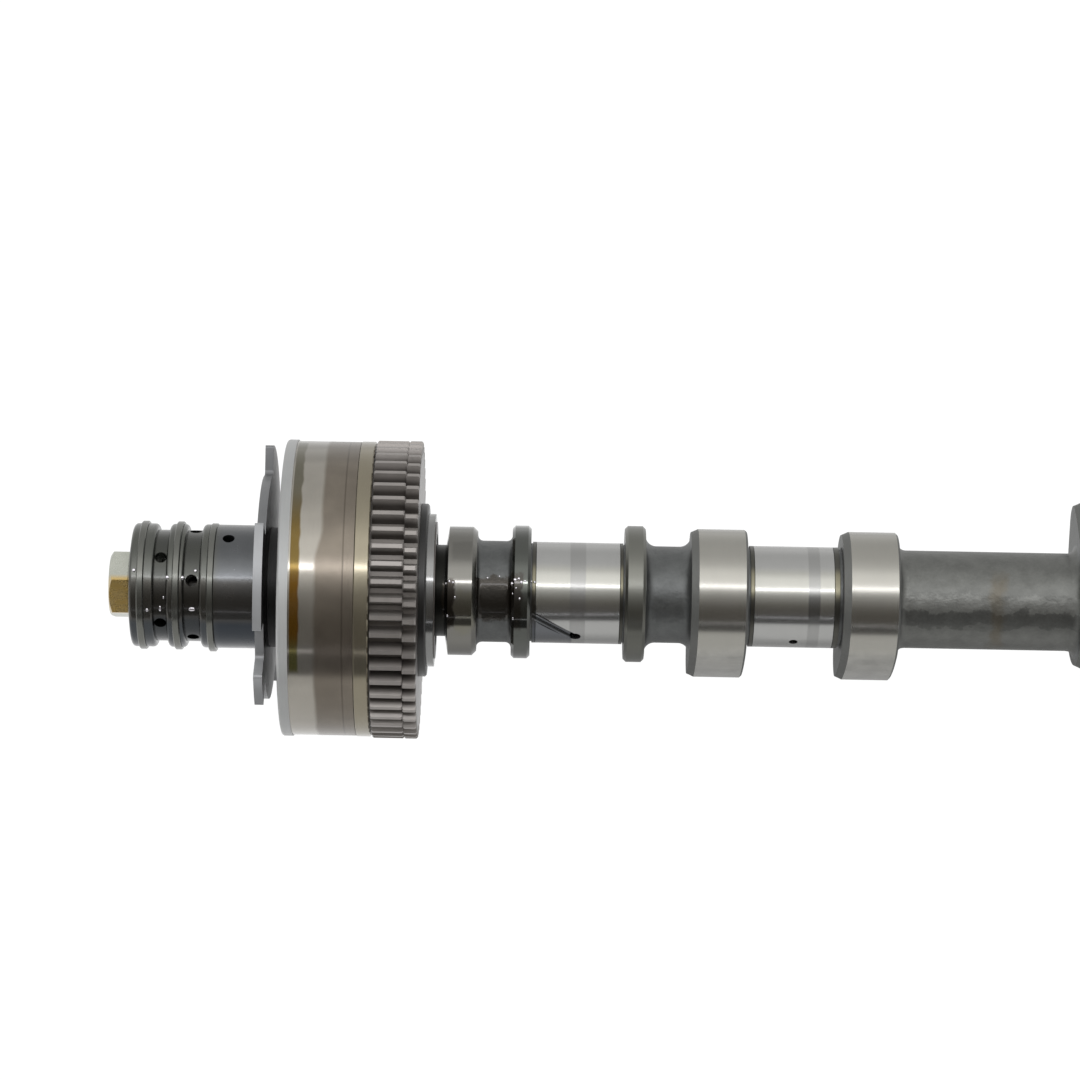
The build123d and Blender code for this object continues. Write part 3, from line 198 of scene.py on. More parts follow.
class PhaserFinish(PropertyGroup):
    """Colours of the trigger wheel, the phaser and the gears."""

    wheel: colour("Trigger wheel", "Satin sheet steel", (0.27, 0.275, 0.28))
    # Painted shade: the wheel's rear face towards the cover is drawn near black
    wheel_back_shade: colour("Trigger wheel, rear", "Oily face towards the cover", (0.012, 0.013, 0.012))
    rotor: colour("Rotor", "Oily sintered steel", (0.07, 0.07, 0.07))
    cover: colour("Cover", "Fine satin steel", (0.34, 0.345, 0.34))
    band: colour("Housing, light end", "Beige end of the housing", (0.26, 0.245, 0.215))
    band_stain: colour("Housing, stained end", "Taupe end of the housing", (0.158, 0.137, 0.111))
    band_line: colour("Housing, line", "Dark turned line at the rear end", (0.05, 0.04, 0.03))
    strip_amber: colour("Oil strip, amber", "Oil in the corner at the cover", (0.15, 0.073, 0.008))
    strip_upper: colour("Oil strip, upper", "Its pale upper end", (0.118, 0.11, 0.082))
    strip_lower: colour("Oil strip, lower", "Its olive lower end", (0.14, 0.13, 0.045))
    plate: colour("Sealing plate", "Pale straw steel", (0.195, 0.175, 0.13))
    screw: colour("Cover screws", "Dark screws", (0.2, 0.2, 0.2))
    pin: colour("Pins", "Bright pins and dowels", (0.5, 0.5, 0.51))
    gear_pin: colour("Gear pins", "Pins of the split gear", (0.5, 0.5, 0.5))
    spring: colour("Springs", "Springs inside the phaser", (0.25, 0.26, 0.28))
    spring_ring: colour("Spring ring", "Blued ring inside the gear", (0.2, 0.22, 0.27))
    seal: colour("Vane seals", "Dark plastic", (0.03, 0.026, 0.022))
    gear: colour("Gears", "Oily ground teeth", (0.25, 0.233, 0.218))
    # Oil and painted shade: the gaps between the teeth are drawn dark
    tooth_gap_oil_and_shade: colour("Tooth gaps", "Dark oil between the teeth", (0.05, 0.042, 0.034))
    thrust_plate: colour("Thrust plate", "Phosphated steel", (0.05, 0.05, 0.049))
    snap_ring: colour("Snap ring", "Bright steel", (0.195, 0.195, 0.19))


class StudioSizes(PropertyGroup):
    """Where the camera stands and what the studio is like."""

    distance: length("Camera distance", "From the camera to the shaft's axis", 1.083)
    lens: FloatProperty(name="Lens", description="Focal length on a 36 mm sensor", default=130.0,
                        unit="CAMERA")
    roll: FloatProperty(name="Roll", description="How far the camera leans", default=radians(1.09),
                        subtype="ANGLE")
    aim_station: length("Aim", "Station along the shaft at the picture's middle", -0.0106)
    aim_lift: length("Aim lift", "How far the picture's middle lies above the axis", 0.0145)
    strip_strength: FloatProperty(name="High strip", description="Brightness of the upper strip lamp",
                                  default=7.0)
    low_strip_strength: FloatProperty(name="Low strip", description="Brightness of the lower strip lamp",
                                      default=1.9)
    floor_tone: FloatProperty(name="Floor", description="Whiteness of the floor", default=0.82)


# Shader maths

class Value:
    """A number from a socket, which adds its Math nodes as it is used in an expression."""

    def __init__(self, tree, socket):
        self.tree = tree
        self.socket = socket

    def __add__(self, other):
        return self.tree.math("ADD", self, other)

    def __sub__(self, other):
        return self.tree.math("SUBTRACT", self, other)

    def __rsub__(self, other):
        return self.tree.math("SUBTRACT", other, self)

    def __mul__(self, other):
        return self.tree.math("MULTIPLY", self, other)

    def __truediv__(self, other):
        return self.tree.math("DIVIDE", self, other)

    def __neg__(self):
        return self.tree.math("MULTIPLY", self, -1.0)

    __radd__ = __add__
    __rmul__ = __mul__


class Tree:
    """A node tree that is written from Python expressions."""

    def __init__(self, node_tree):
        self.tree = node_tree
        self.tree.nodes.clear()

    def node(self, kind, settings=None, inputs=None):
        """Add a node: its settings first, then the values or links of its sockets."""
        node = self.tree.nodes.new(kind)
        for name, setting in (settings or {}).items():
            if name == "stops":
                self.set_stops(node.color_ramp, setting)
            else:
                setattr(node, name, setting)
        for name, given in (inputs or {}).items():
            self.feed(self.find(node.inputs, name), given)
        return node

    def find(self, sockets, name):
        """The socket in use that has this name or identifier."""
        for socket in sockets:
            if socket.enabled and name in (socket.name, socket.identifier):
                return socket
        raise RuntimeError(f"no socket named {name}")

    def feed(self, socket, given):
        """Link a socket to what is given, or set its value."""
        if isinstance(given, Value):
            self.tree.links.new(given.socket, socket)
        elif hasattr(given, "is_linked"):
            self.tree.links.new(given, socket)
        elif hasattr(given, "__len__") and len(given) == 3 and len(socket.default_value) == 4:
            socket.default_value = (*given, 1.0)
        else:
            socket.default_value = given

    def set_stops(self, ramp, stops):
        """Give a colour ramp its stops: pairs of a place and a grey or a colour."""
        while len(ramp.elements) < len(stops):
            ramp.elements.new(1.0)
        for element, (place, tone) in zip(ramp.elements, stops):
            element.position = place
            element.color = (*tone, 1.0) if hasattr(tone, "__len__") else (tone, tone, tone, 1.0)

    def math(self, operation, first, second=0.0, third=0.0):
        """A Math node on numbers or values."""
        node = self.node("ShaderNodeMath", {"operation": operation})
        for socket, given in zip(node.inputs, (first, second, third)):
            self.feed(socket, given)
        return Value(self, node.outputs[0])

    def step(self, value, start, end):
        """0 below start and 1 above end, smooth between them."""
        node = self.node(
            "ShaderNodeMapRange",
            {"interpolation_type": "SMOOTHSTEP"},
            {"Value": value, "From Min": start, "From Max": end},
        )
        return Value(self, node.outputs["Result"])

    def between(self, value, low, high, soft):
        """1 between two values and 0 outside them."""
        rise = self.step(value, low - soft, low + soft)
        fall = self.step(value, high - soft, high + soft)
        return rise * (1 - fall)

    def mix(self, first, second, factor):
        """The second colour over the first, by a factor."""
        node = self.node(
            "ShaderNodeMix",
            {"data_type": "RGBA", "clamp_factor": True},
            {"Factor_Float": factor, "A_Color": first, "B_Color": second},
        )
        return self.find(node.outputs, "Result_Color")

    def shade(self, tone, value):
        """A colour made darker or lighter by a value."""
        node = self.node("ShaderNodeVectorMath", {"operation": "SCALE"}, {"Vector": tone, "Scale": value})
        return node.outputs["Vector"]


# How many times longer a turning mark is than it is wide
MARK_STRETCH = 60

# How far the edges of the most ragged stain wander, in millimetres along the shaft and in degrees round it
STATION_WANDER = 12.0
ANGLE_WANDER = 90.0


class Finish(Tree):
    """A material on one piece, with the measures that the patterns need."""

    def __init__(self, name):
        self.material = bpy.data.materials.new(name)
        self.material.use_nodes = True
        super().__init__(self.material.node_tree)
        self.places = self.node("ShaderNodeTexCoord")
        self.here = self.places.outputs["Object"]
        turned = self.node(
            "ShaderNodeMapping",
            {"vector_type": "POINT"},
            {"Vector": self.here, "Rotation": (VIEW_ELEVATION, 0.0, 0.0), "Scale": (1 / MM, 1 / MM, 1 / MM)},
        )
        split = self.node("ShaderNodeSeparateXYZ", inputs={"Vector": turned.outputs["Vector"]})
        self.station = Value(self, split.outputs["X"])
        towards = -Value(self, split.outputs["Y"])
        upwards = Value(self, split.outputs["Z"])
        self.radius = self.math("SQRT", towards * towards + upwards * upwards)
        self.angle = self.math("ARCTAN2", upwards, towards) * degrees(1.0)

    def noise(self, size, detail=3.0, roughness=0.55, along=1.0):
        """Noise of a size in millimetres, drawn out along the shaft where along is over 1."""
        scaled = self.node(
            "ShaderNodeMapping",
            {"vector_type": "POINT"},
            {"Vector": self.here, "Scale": (1 / (size * along * MM), 1 / (size * MM), 1 / (size * MM))},
        )
        node = self.node(
            "ShaderNodeTexNoise",
            {"noise_dimensions": "3D"},
            {"Vector": scaled.outputs["Vector"], "Scale": 1.0, "Detail": detail, "Roughness": roughness},
        )
        return Value(self, node.outputs["Fac"])

    def turning(self, pitch):
        """Turning marks: a noise that changes along the shaft and hardly round it."""
        return self.noise(pitch * MARK_STRETCH, 2.0, 0.6, along=1 / MARK_STRETCH)

    def facing(self):
        """How squarely a face looks to the rear end: 1 for square on, and -1 for square away from it."""
        sides = self.node("ShaderNodeSeparateXYZ", inputs={"Vector": self.places.outputs["Normal"]})
        return Value(self, sides.outputs["X"])

    def patch(self, stations, angles, soft, ragged):
        """A stain between two stations and two angles, with edges that wander by a ragged share."""
        wander = (self.noise(6.0, 4.0, 0.65) - 0.5) * ragged
        along = self.between(self.station + wander * STATION_WANDER, *stations, soft[0])
        around = self.between(self.angle + wander * ANGLE_WANDER, *angles, soft[1])
        return along * around

    def surface(self, **inputs):
        """The finished shader, from the Principled sockets named with spaces as underscores."""
        named = {name.replace("_", " "): given for name, given in inputs.items()}
        shader = self.node("ShaderNodeBsdfPrincipled", inputs=named)
        self.node("ShaderNodeOutputMaterial", inputs={"Surface": shader.outputs["BSDF"]})
        return self.material

    def bump(self, height, depth):
        """A bump of a depth in millimetres."""
        inputs = {"Height": height, "Distance": depth * MM, "Strength": 1.0}
        return self.node("ShaderNodeBump", inputs=inputs).outputs["Normal"]


def dress(nodes, material):
    """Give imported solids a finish."""
    for name in nodes:
        piece = frame["nodes"][name]
        if not piece.material_slots:
            piece.data.materials.append(material)
        for slot in piece.material_slots:
            slot.material = material


# Finishes

def plain_steel(name, tone, roughness):
    """Turned steel with an uneven sheen."""
    finish = Finish(name)
    marks = finish.turning(0.25)
    cloud = finish.noise(7.0, 4.0)
    tones = finish.shade(tone, 0.82 + 0.24 * cloud + 0.12 * marks)
    return finish.surface(
        Base_Color=tones,
        Metallic=0.9,
        Roughness=roughness + 0.096 * (cloud - 0.5),
        Normal=finish.bump(marks, 0.004),
    )


def casting_tones(finish, look, off_pair, stub, relief):
    """The rough casting's colour: its necks are darker, and its tubes have a painted light band and a painted
    dark band.
    """
    station = finish.station
    neck = finish.between(station, FLANGE_REAR, FIRST_PAIR - LOBE_OUTER, 0.3)
    front_neck = finish.between(station, COLLAR[1], FLANGE_FRONT, 0.3)
    tube = finish.step(station, *TUBES_BEGIN) * finish.step(off_pair, LOBE_OUTER, LOBE_OUTER + 0.6)
    tube = tube * (1 - stub)
    # Painted light and shade on the tubes: lighter at -13 to 5 degrees, darker at -33 to -13
    painted_light_band = tube * finish.patch(TUBES, (-13.0, 5.0), (1.0, 3.0), 0.4)
    painted_dark_band = tube * finish.patch(TUBES, (-33.0, -13.0), (1.0, 1.2), 0.4)
    shares = (1 - 0.22 * neck) * (1 - 0.3 * front_neck)
    shares = shares * (1 + 0.4 * painted_light_band) * (1 - 0.22 * painted_dark_band)
    return finish.shade(finish.mix(look.casting, look.tube, tube), relief * shares)


def shaft_oil(finish, cloud):
    """Where brown oil lies: on the collar, on the neck behind it, on the flange and in the next corner."""
    collar = finish.patch((-37.0, -33.9), (-34.0, 12.0), (0.3, 3.0), 0.25)
    neck = finish.patch((-27.9, -18.0), (-33.0, 17.5), (0.4, 2.5), 0.35)
    flange = finish.patch((-18.3, -15.4), (-34.0, 12.0), (0.4, 3.0), 0.4)
    corner = finish.patch((-13.2, -11.4), (-40.0, 8.0), (0.3, 6.0), 0.3)
    oil = collar * 0.95 + neck * (0.7 + 0.4 * cloud) + flange * 0.9 + corner * 0.5
    return finish.math("MINIMUM", oil, 1.0)


def shaft_finish(look):
    """The casting with its ground, polished and oily bands."""
    finish = Finish("cast_and_ground_iron")
    station = finish.station
    angle = finish.angle
    pair = finish.math("WRAP", station - FIRST_PAIR, CYLINDER_PITCH / 2, -CYLINDER_PITCH / 2)
    off_pair = finish.math("ABSOLUTE", pair)
    behind = finish.step(station, *BEHIND_FLANGES)
    bevel = finish.step(finish.math("ABSOLUTE", finish.facing()), 0.28, 0.38)

    thrust = finish.between(station, -JOURNAL_HALF, JOURNAL_HALF, 0.06)
    pair_journal = behind * (1 - finish.step(off_pair, PAIR_JOURNAL_HALF - 0.06, PAIR_JOURNAL_HALF + 0.06))
    journal = thrust + pair_journal
    polished = thrust * finish.between(station, *THRUST_POLISH, 0.12)
    polished = polished + pair_journal * finish.between(pair, *PAIR_POLISH, 0.12)
    stripe = finish.between(station, *THRUST_STRIPE, 0.25)
    stripe = stripe + pair_journal * finish.between(pair, *PAIR_STRIPE, 0.25)
    lobe = behind * finish.between(off_pair, LOBE_INNER, LOBE_OUTER, 0.05)
    rear_flange = finish.between(station, JOURNAL_HALF + RELIEF_WIDTH, FLANGE_REAR, 0.05)
    front_flange = finish.between(station, FLANGE_FRONT, -JOURNAL_HALF - RELIEF_WIDTH, 0.05)
    collar = finish.between(station, *COLLAR, 0.05)
    # The nose, where a painted shadow goes
    nose = 1 - finish.step(station, COLLAR[0] - 0.1, COLLAR[0])
    stub = finish.step(station, STUB_FRONT - 0.05, STUB_FRONT + 0.05)
    cam = lobe * (1 - bevel)

    grain = finish.noise(look.casting_grain / MM, 4.0, 0.6)
    lumps = finish.noise(4.5, 4.0, 0.6)
    cloud = finish.noise(9.0, 4.0, 0.6)
    marks = finish.turning(look.grinding_pitch / MM)
    even = 0.9 + 0.1 * cloud + 0.1 * marks

    ground = cam + journal + collar + nose + front_flange + rear_flange + stub
    rough = 1 - finish.math("MINIMUM", ground, 1.0)
    tones = casting_tones(finish, look, off_pair, stub, 0.5 + 0.7 * lumps + 0.3 * grain)
    roughness = 0.36 + 0.12 * grain
    parts = (
        (lobe * bevel, look.bevel, 0.5),
        (cam, look.lobe, 0.165),
        (collar, look.collar, 0.08),
        (nose, look.nose, 0.3),
        (front_flange, look.oily_flange, 0.03),
        (rear_flange, look.rear_flange, 0.25),
        (stub, look.stub, 0.26),
        (journal, look.journal_rim, 0.3),
        # Painted highlight on the lit side of the journal rims
        (journal * finish.between(angle, 0.0, 32.0, 6.0), look.journal_rim_highlight, 0.25),
        (polished, look.journal, 0.14),
        # Painted highlight: warm tint on the lit side of the polished journals
        (polished * finish.between(angle, -14.0, 32.0, 6.0), look.journal_highlight_tint, 0.14),
    )
    for share, tone, dullness in parts:
        tones = finish.mix(tones, finish.shade(tone, even), share)
        roughness = roughness + (dullness + 0.05 * marks + 0.05 * cloud - roughness) * share
    # Painted shade: the rear flange's lower side, below about -34 degrees, is drawn darker
    tones = finish.mix(tones, finish.shade(tones, 0.7), rear_flange * (1 - finish.step(angle, -38.0, -30.0)))
    # Painted highlight: the collar and the front flange are drawn lighter where the upper strip lamp's line
    # falls
    painted_highlight = finish.between(angle, 1.0, 10.5, 2.5)
    tones = finish.shade(tones, 1 + painted_highlight * (0.33 * collar + 1.4 * front_flange))
    flat = finish.patch(COLLAR_FLAT, (28.0, 50.0), (0.5, 3.0), 0.1)
    tones = finish.mix(tones, finish.shade(tones, 0.82), flat)
    # Painted reflection of the floor on the lower side of the lobes
    lower_cam_reflection = cam * (1 - finish.step(angle, -64.0, -46.0))
    tones = finish.mix(tones, finish.shade(look.lower_lobe_reflection, 0.3 + 1.4 * cloud), lower_cam_reflection * 0.7)
    stripe = stripe * polished
    tones = finish.mix(tones, finish.shade(look.journal, 0.78), stripe * 0.8)
    # The worn stripe on the cylinders' journals, drawn darker still as painted shade where it faces the dark
    # gap
    worn_and_shaded = stripe * pair_journal * finish.between(angle, -24.0, 3.0, 4.0)
    tones = finish.mix(tones, finish.shade(look.journal, 0.42), worn_and_shaded * 0.75)
    roughness = roughness + 0.05 * stripe
    metallic = 0.95 - 0.15 * rough

    below_groove = 1 - finish.step(angle + (station - GROOVE_START) * GROOVE_SLOPE, -25.0, -21.0)
    dull = below_groove * finish.between(station, *DULL_PATCH, 0.3) * finish.step(angle, -86.0, -78.0)
    tones = finish.mix(tones, look.dull_patch, dull * 0.85)

    in_groove = thrust * (1 - finish.step(finish.radius, *GROOVE_EDGE))
    tones = finish.mix(tones, look.groove, in_groove * 0.6)

    olive_oil = finish.patch((-33.9, -28.5), (-38.0, -2.0), (0.8, 6.0), 0.5)
    tones = finish.mix(tones, look.olive_oil, olive_oil * 0.5)
    oil = shaft_oil(finish, cloud)
    tones = finish.mix(tones, look.oil, oil)
    roughness = roughness + (0.22 - roughness) * oil
    rusty = finish.patch(RUSTY_STAIN, (-75.0, 30.0), (1.2, 12.0), 0.5)
    tones = finish.mix(tones, look.rust, rusty * 0.42)
    height = marks * 0.02 + (grain * 0.16 + lumps * 0.9) * rough + 0.5 * (polished - journal)
    return finish.surface(
        Base_Color=tones,
        Metallic=metallic,
        Roughness=roughness,
        Coat_Weight=finish.math("MINIMUM", 0.35 * oil + 0.5 * front_flange, 1.0),
        Coat_Roughness=0.06,
        Normal=finish.bump(height, 0.25),
    )


def snout_finish(look):
    """The dark glossy snout: olive round its rings and brown with oil at mid height, with painted shade on
    top, painted bluish shade below and painted shade in its channels.
    """
    finish = Finish("oily_dark_steel")
    cloud = finish.noise(5.0, 5.0, 0.65)
    marks = finish.turning(0.2)
    channel_shade = 1 - finish.step(finish.radius, *CHANNEL_EDGE)
    # Painted shade: the snout's top, above about 17 degrees, is drawn darker
    upper = finish.step(finish.angle, 12.0, 22.0)
    tones = finish.shade(look.body, (0.78 + 0.3 * cloud + 0.14 * marks) * (1 - 0.24 * upper))
    olive = (1 - finish.step(finish.station, *OLIVE_END)) * (0.25 + 0.5 * cloud)
    tones = finish.mix(tones, look.olive_end, olive)
    # Painted shade on the lower side, below about -30 degrees
    below = (1 - finish.step(finish.angle, -35.0, -26.0)) * (1 - 0.4 * olive)
    tones = finish.mix(tones, look.low_side_shade, below)
    brown = finish.between(finish.angle, -34.0, 7.0, 5.0) * (0.55 + 0.45 * cloud)
    tones = finish.mix(tones, look.brown_side, brown * 0.85)
    # Painted shade in the channels between the ridges
    tones = finish.mix(tones, finish.shade(tones, 0.62), channel_shade)
    return finish.surface(
        Base_Color=tones,
        Metallic=0.9,
        Roughness=0.25 + 0.2 * (cloud - 0.5),
        Coat_Weight=0.25 + 0.4 * brown,
        Coat_Roughness=0.08,
        Normal=finish.bump(marks * 0.2 + cloud, 0.05),
    )


def bolt_finish(look):
    """Pale plated steel with amber oil on its middle facet, and a shank painted near black as shade inside
    the snout.
    """
    finish = Finish("plated_steel")
    cloud = finish.noise(3.0, 4.0)
    tones = finish.shade(look.bolt, 0.95 + 0.3 * cloud)
    end_face = finish.step(-finish.facing(), 0.75, 0.95)
    amber = finish.between(finish.angle, -60.0, 14.0, 6.0) * (1 - 0.85 * end_face)
    tones = finish.mix(tones, finish.shade(look.amber, 4.6), amber * (0.68 + 0.4 * cloud))
    # Painted shade on the shank behind the head
    snout_front = node_span("ring_carrier")[0]
    shank_shade = finish.step(finish.station, snout_front, snout_front + 1.0)
    tones = finish.mix(tones, look.shank_shade, shank_shade)
    return finish.surface(
        Base_Color=tones,
        Metallic=0.9,
        Roughness=0.27 + 0.15 * (cloud - 0.5),
        Coat_Weight=0.6 * amber,
        Coat_Roughness=0.08,
        Normal=finish.bump(cloud, 0.008),
    )


def wheel_finish(look):
    """Satin sheet steel, painted lighter round its middle, with painted shade towards its hub and on its rear
    face.
    """
    finish = Finish("satin_sheet_steel")
    cloud = finish.noise(6.0, 4.0)
    # Painted shade towards the hub
    near_hub_shade = 1 - finish.step(finish.radius, 24.0, 33.0)
    rear_face = finish.step(finish.facing(), 0.4, 0.7)
    shaded = rear_face * finish.between(finish.angle, -48.0, 42.0, 14.0)
    # Painted light and shade: the wheel is drawn lighter round its middle and darker above and below
    middle = finish.between(finish.angle, -42.0, 30.0, 6.0)
    tones = finish.shade(look.wheel, (0.85 + 0.25 * cloud) * (0.62 + 0.45 * middle))
    tones = finish.mix(tones, finish.shade(look.wheel, 0.3), near_hub_shade)
    tones = finish.mix(tones, look.wheel_back_shade, shaded)
    return finish.surface(
        Base_Color=tones,
        Metallic=0.3,
        Roughness=0.36 + 0.12 * (cloud - 0.5),
        Normal=finish.bump(finish.noise(0.5, 2.0), 0.008),
    )


def cover_finish(look):
    """Fine satin steel, painted lighter on its lower side so that it is nearly as light in the shade as in
    the light.
    """
    finish = Finish("satin_cover_steel")
    cloud = finish.noise(8.0, 4.0)
    marks = finish.turning(0.15)
    # Painted light: the cover's lower front, between -33 and 5 degrees, is drawn lighter
    lower = finish.between(finish.angle, -33.0, 5.0, 6.0)
    tones = finish.shade(look.cover, (0.73 + 0.14 * cloud + 0.1 * marks) * (1 + 0.4 * lower))
    return finish.surface(
        Base_Color=tones,
        Metallic=0.3,
        Roughness=0.3 + 0.06 * marks + 0.1 * (cloud - 0.5),
        Normal=finish.bump(marks, 0.004),
    )


def band_finish(look, amber):
    """The turned housing: oil in the corner at the cover, a beige end, then a stained taupe one, with a
    painted highlight and painted sheen and shade round it.
    """
    finish = Finish("stained_housing_steel")
    front, rear = node_span("stator_housing")
    cloud = finish.noise(7.0, 4.0, 0.6)
    blotch = finish.noise(5.0, 1.0, 0.4, along=1.6)
    marks = finish.turning(0.18)
    border = finish.station + (cloud - 0.5) * 1.2 - 1.6 * finish.step(finish.angle, 10.0, 24.0)
    stained = finish.step(border, front + 6.4, front + 7.8)
    tones = finish.shade(look.band, 0.8 + 0.16 * cloud + 0.16 * blotch + 0.08 * marks)
    tones = finish.mix(tones, finish.shade(look.band_stain, 0.66 + 0.4 * cloud + 0.24 * blotch), stained)
    # Painted highlight: lighter where the upper strip lamp's line falls, less so on the stained end
    painted_highlight = finish.between(finish.angle, 1.0, 11.5, 3.0)
    tones = finish.mix(tones, finish.shade(tones, 1.3), painted_highlight * (1 - 0.5 * stained))
    # Painted sheen and shade by angle: lighter at 27 to 57 degrees, darker at 59 to 76, lighter low down on
    # the beige end and darker there on the stained end
    painted_sheen = 0.1 * finish.between(finish.angle, 27.0, 57.0, 3.0) * (1 - stained)
    painted_sheen = painted_sheen - 0.15 * finish.between(finish.angle, 59.0, 76.0, 3.0)
    painted_sheen = painted_sheen + (1 - finish.step(finish.angle, -42.0, -36.0)) * (0.13 - 0.23 * stained)
    tones = finish.shade(tones, 1 + painted_sheen)
    line = finish.between(finish.station, rear - 3.1, rear - 2.7, 0.12)
    tones = finish.mix(tones, look.band_line, line * 0.5)

    wander = finish.station + (blotch - 0.5) * 1.2
    strip = finish.step(finish.station, front + 0.4, front + 0.6)
    strip = strip * (1 - finish.step(wander, front + 2.6, front + 3.2))
    upper = finish.step(finish.angle, 22.0, 46.0)
    middle = finish.step(finish.angle, 1.0, 10.0)
    lower = 1 - finish.step(finish.angle, -26.0, -16.0)
    wet = strip * finish.between(finish.angle, -33.0, 80.0, 1.5) * (0.85 + 0.3 * cloud)
    oil_tone = finish.mix(look.strip_amber, finish.shade(amber, 0.9), middle)
    oil_tone = finish.mix(oil_tone, look.strip_upper, upper)
    oil_tone = finish.mix(oil_tone, look.strip_lower, lower)
    tones = finish.mix(tones, oil_tone, finish.math("MINIMUM", wet, 1.0))
    return finish.surface(
        Base_Color=tones,
        Metallic=0.82,
        Roughness=0.12 + 0.1 * stained + 0.08 * (cloud - 0.5) + 0.04 * marks,
        Normal=finish.bump(marks, 0.005),
    )


def plate_finish(look):
    """Turned steel with a pale straw tint and a painted highlight."""
    finish = Finish("straw_tinted_steel")
    cloud = finish.noise(6.0, 4.0)
    marks = finish.turning(0.15)
    # Painted highlight where the upper strip lamp's line falls
    painted_highlight = finish.between(finish.angle, 1.0, 11.5, 3.0)
    tones = finish.shade(look.plate, (0.95 + 0.22 * cloud + 0.1 * marks) * (1 + 0.25 * painted_highlight))
    return finish.surface(
        Base_Color=tones,
        Metallic=0.84,
        Roughness=0.12 + 0.08 * marks,
        Normal=finish.bump(marks, 0.005),
    )


def gear_finish(look):
    """Ground teeth with dark oil and painted shade in their gaps."""
    finish = Finish("oily_gear_steel")
    cloud = finish.noise(4.0, 4.0)
    # Painted shade and oil, darker towards the tooth roots
    high = finish.step(finish.radius, TOOTH_ROOT + 1.2, TOOTH_TIP - 0.4)
    tones = finish.mix(look.tooth_gap_oil_and_shade, finish.shade(look.gear, 0.85 + 0.3 * cloud), 0.3 + 0.7 * high)
    return finish.surface(
        Base_Color=tones,
        Metallic=0.6,
        Roughness=0.38 + 0.15 * (cloud - 0.5),
        Coat_Weight=0.3 * (1 - high),
        Coat_Roughness=0.12,
        Normal=finish.bump(finish.noise(0.8, 2.0), 0.01),
    )


# Oil drops

# A drop's station along the shaft and its angle round it, its length along the shaft and its width
SNOUT_DROPS = (
    (-121.5, 14, 1.0, 1.1), (-119.1, 17, 1.3, 1.0), (-119.2, 8, 0.9, 1.2), (-117.8, -23, 1.0, 1.0),
    (-114.4, -24, 0.9, 1.7), (-112.3, 8, 1.1, 1.1), (-109.7, 8, 1.5, 1.0), (-108.2, 8, 1.1, 1.1),
    (-110.3, -29, 1.1, 1.4), (-104.8, 16, 1.1, 1.0), (-105.7, -24, 2.2, 1.2), (-101.0, 8, 1.0, 1.2),
    (-101.1, -25, 1.0, 1.2), (-101.0, -8, 0.5, 2.8), (-101.2, 22, 0.5, 2.6), (-101.3, -40, 0.5, 3.0),
    (-101.3, -52, 0.5, 2.6), (-120.6, 2, 0.7, 0.7), (-113.4, -12, 0.6, 0.8), (-106.9, 2, 0.6, 0.8),
)
SHAFT_DROPS = (
    (-36.1, 8, 0.9, 0.7), (-35.2, 9, 0.7, 0.8), (-34.2, 8, 0.8, 0.6), (-33.6, -5, 0.6, 0.7),
    (-35.6, -22, 0.6, 0.7), (-18.0, 8, 0.9, 0.9), (-17.2, 11, 1.0, 0.9), (-16.2, 12, 0.8, 0.8),
    (-15.5, 9, 0.8, 0.9), (-14.5, 10, 0.8, 0.6), (-15.9, -5, 0.6, 0.7), (-17.6, -23, 0.6, 0.8),
    (-12.7, 13, 0.8, 0.7), (-11.9, 12, 0.7, 0.7), (-16.9, 4, 0.5, 0.5), (-17.8, -1, 0.4, 0.5),
    (-21.5, 18, 0.5, 0.4), (-24.8, 16, 0.5, 0.4),
)


# A drop's height, as a share of its shorter side
DROP_HEIGHT = 0.6


def lay_drops(name, solid, spots):
    """Low domes of oil on a solid, each where a line from outside to the shaft's axis meets it."""
    mesh = bmesh.new()
    for station, angle, long, wide in spots:
        turn = VIEW_ELEVATION + radians(angle)
        outwards = Vector((0.0, -cos(turn), sin(turn)))
        start = Vector((station * MM, 0.0, 0.0)) + outwards * CLEAR_OF_ALL
        place = frame["nodes"][solid].ray_cast(start, -outwards)[1]
        along = Vector((1.0, 0.0, 0.0))
        turned = Matrix((along, outwards.cross(along), outwards)).transposed().to_4x4()
        sizes = Matrix.Diagonal((long * MM, wide * MM, DROP_HEIGHT * min(long, wide) * MM, 1.0))
        placed = Matrix.Translation(place) @ turned @ sizes
        bmesh.ops.create_uvsphere(mesh, u_segments=14, v_segments=8, radius=0.5, matrix=placed)
    data = bpy.data.meshes.new(name)
    mesh.to_mesh(data)
    mesh.free()
    data.shade_smooth()
    drops = bpy.data.objects.new(name, data)
    bpy.context.scene.collection.objects.link(drops)
    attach(drops, "shaft")
    return drops


# Pieces

class CAMSHAFT_OT_shaft(Operator):
    """Finish the one-piece camshaft and the plug in its rear end"""

    bl_idname = "camshaft.shaft"
    bl_label = "Camshaft"

    def execute(self, context):
        look = context.scene.shaft_finish
        dress(["camshaft"], shaft_finish(look))
        dress(["gallery_plug"], plain_steel("plug_steel", look.plug, roughness=0.3))
        return {"FINISHED"}


class CAMSHAFT_OT_snout(Operator):
    """Finish the oil snout, its split rings and the central bolt"""

    bl_idname = "camshaft.snout"
    bl_label = "Oil snout and bolt"

    def execute(self, context):
        look = context.scene.snout_finish
        dress(["ring_carrier"], snout_finish(look))
        dress(["central_bolt"], bolt_finish(look))
        rings = [f"sealing_ring_{number}" for number in (1, 2, 3)]
        dress(rings, plain_steel("ring_iron", look.ring, roughness=0.24))
        return {"FINISHED"}


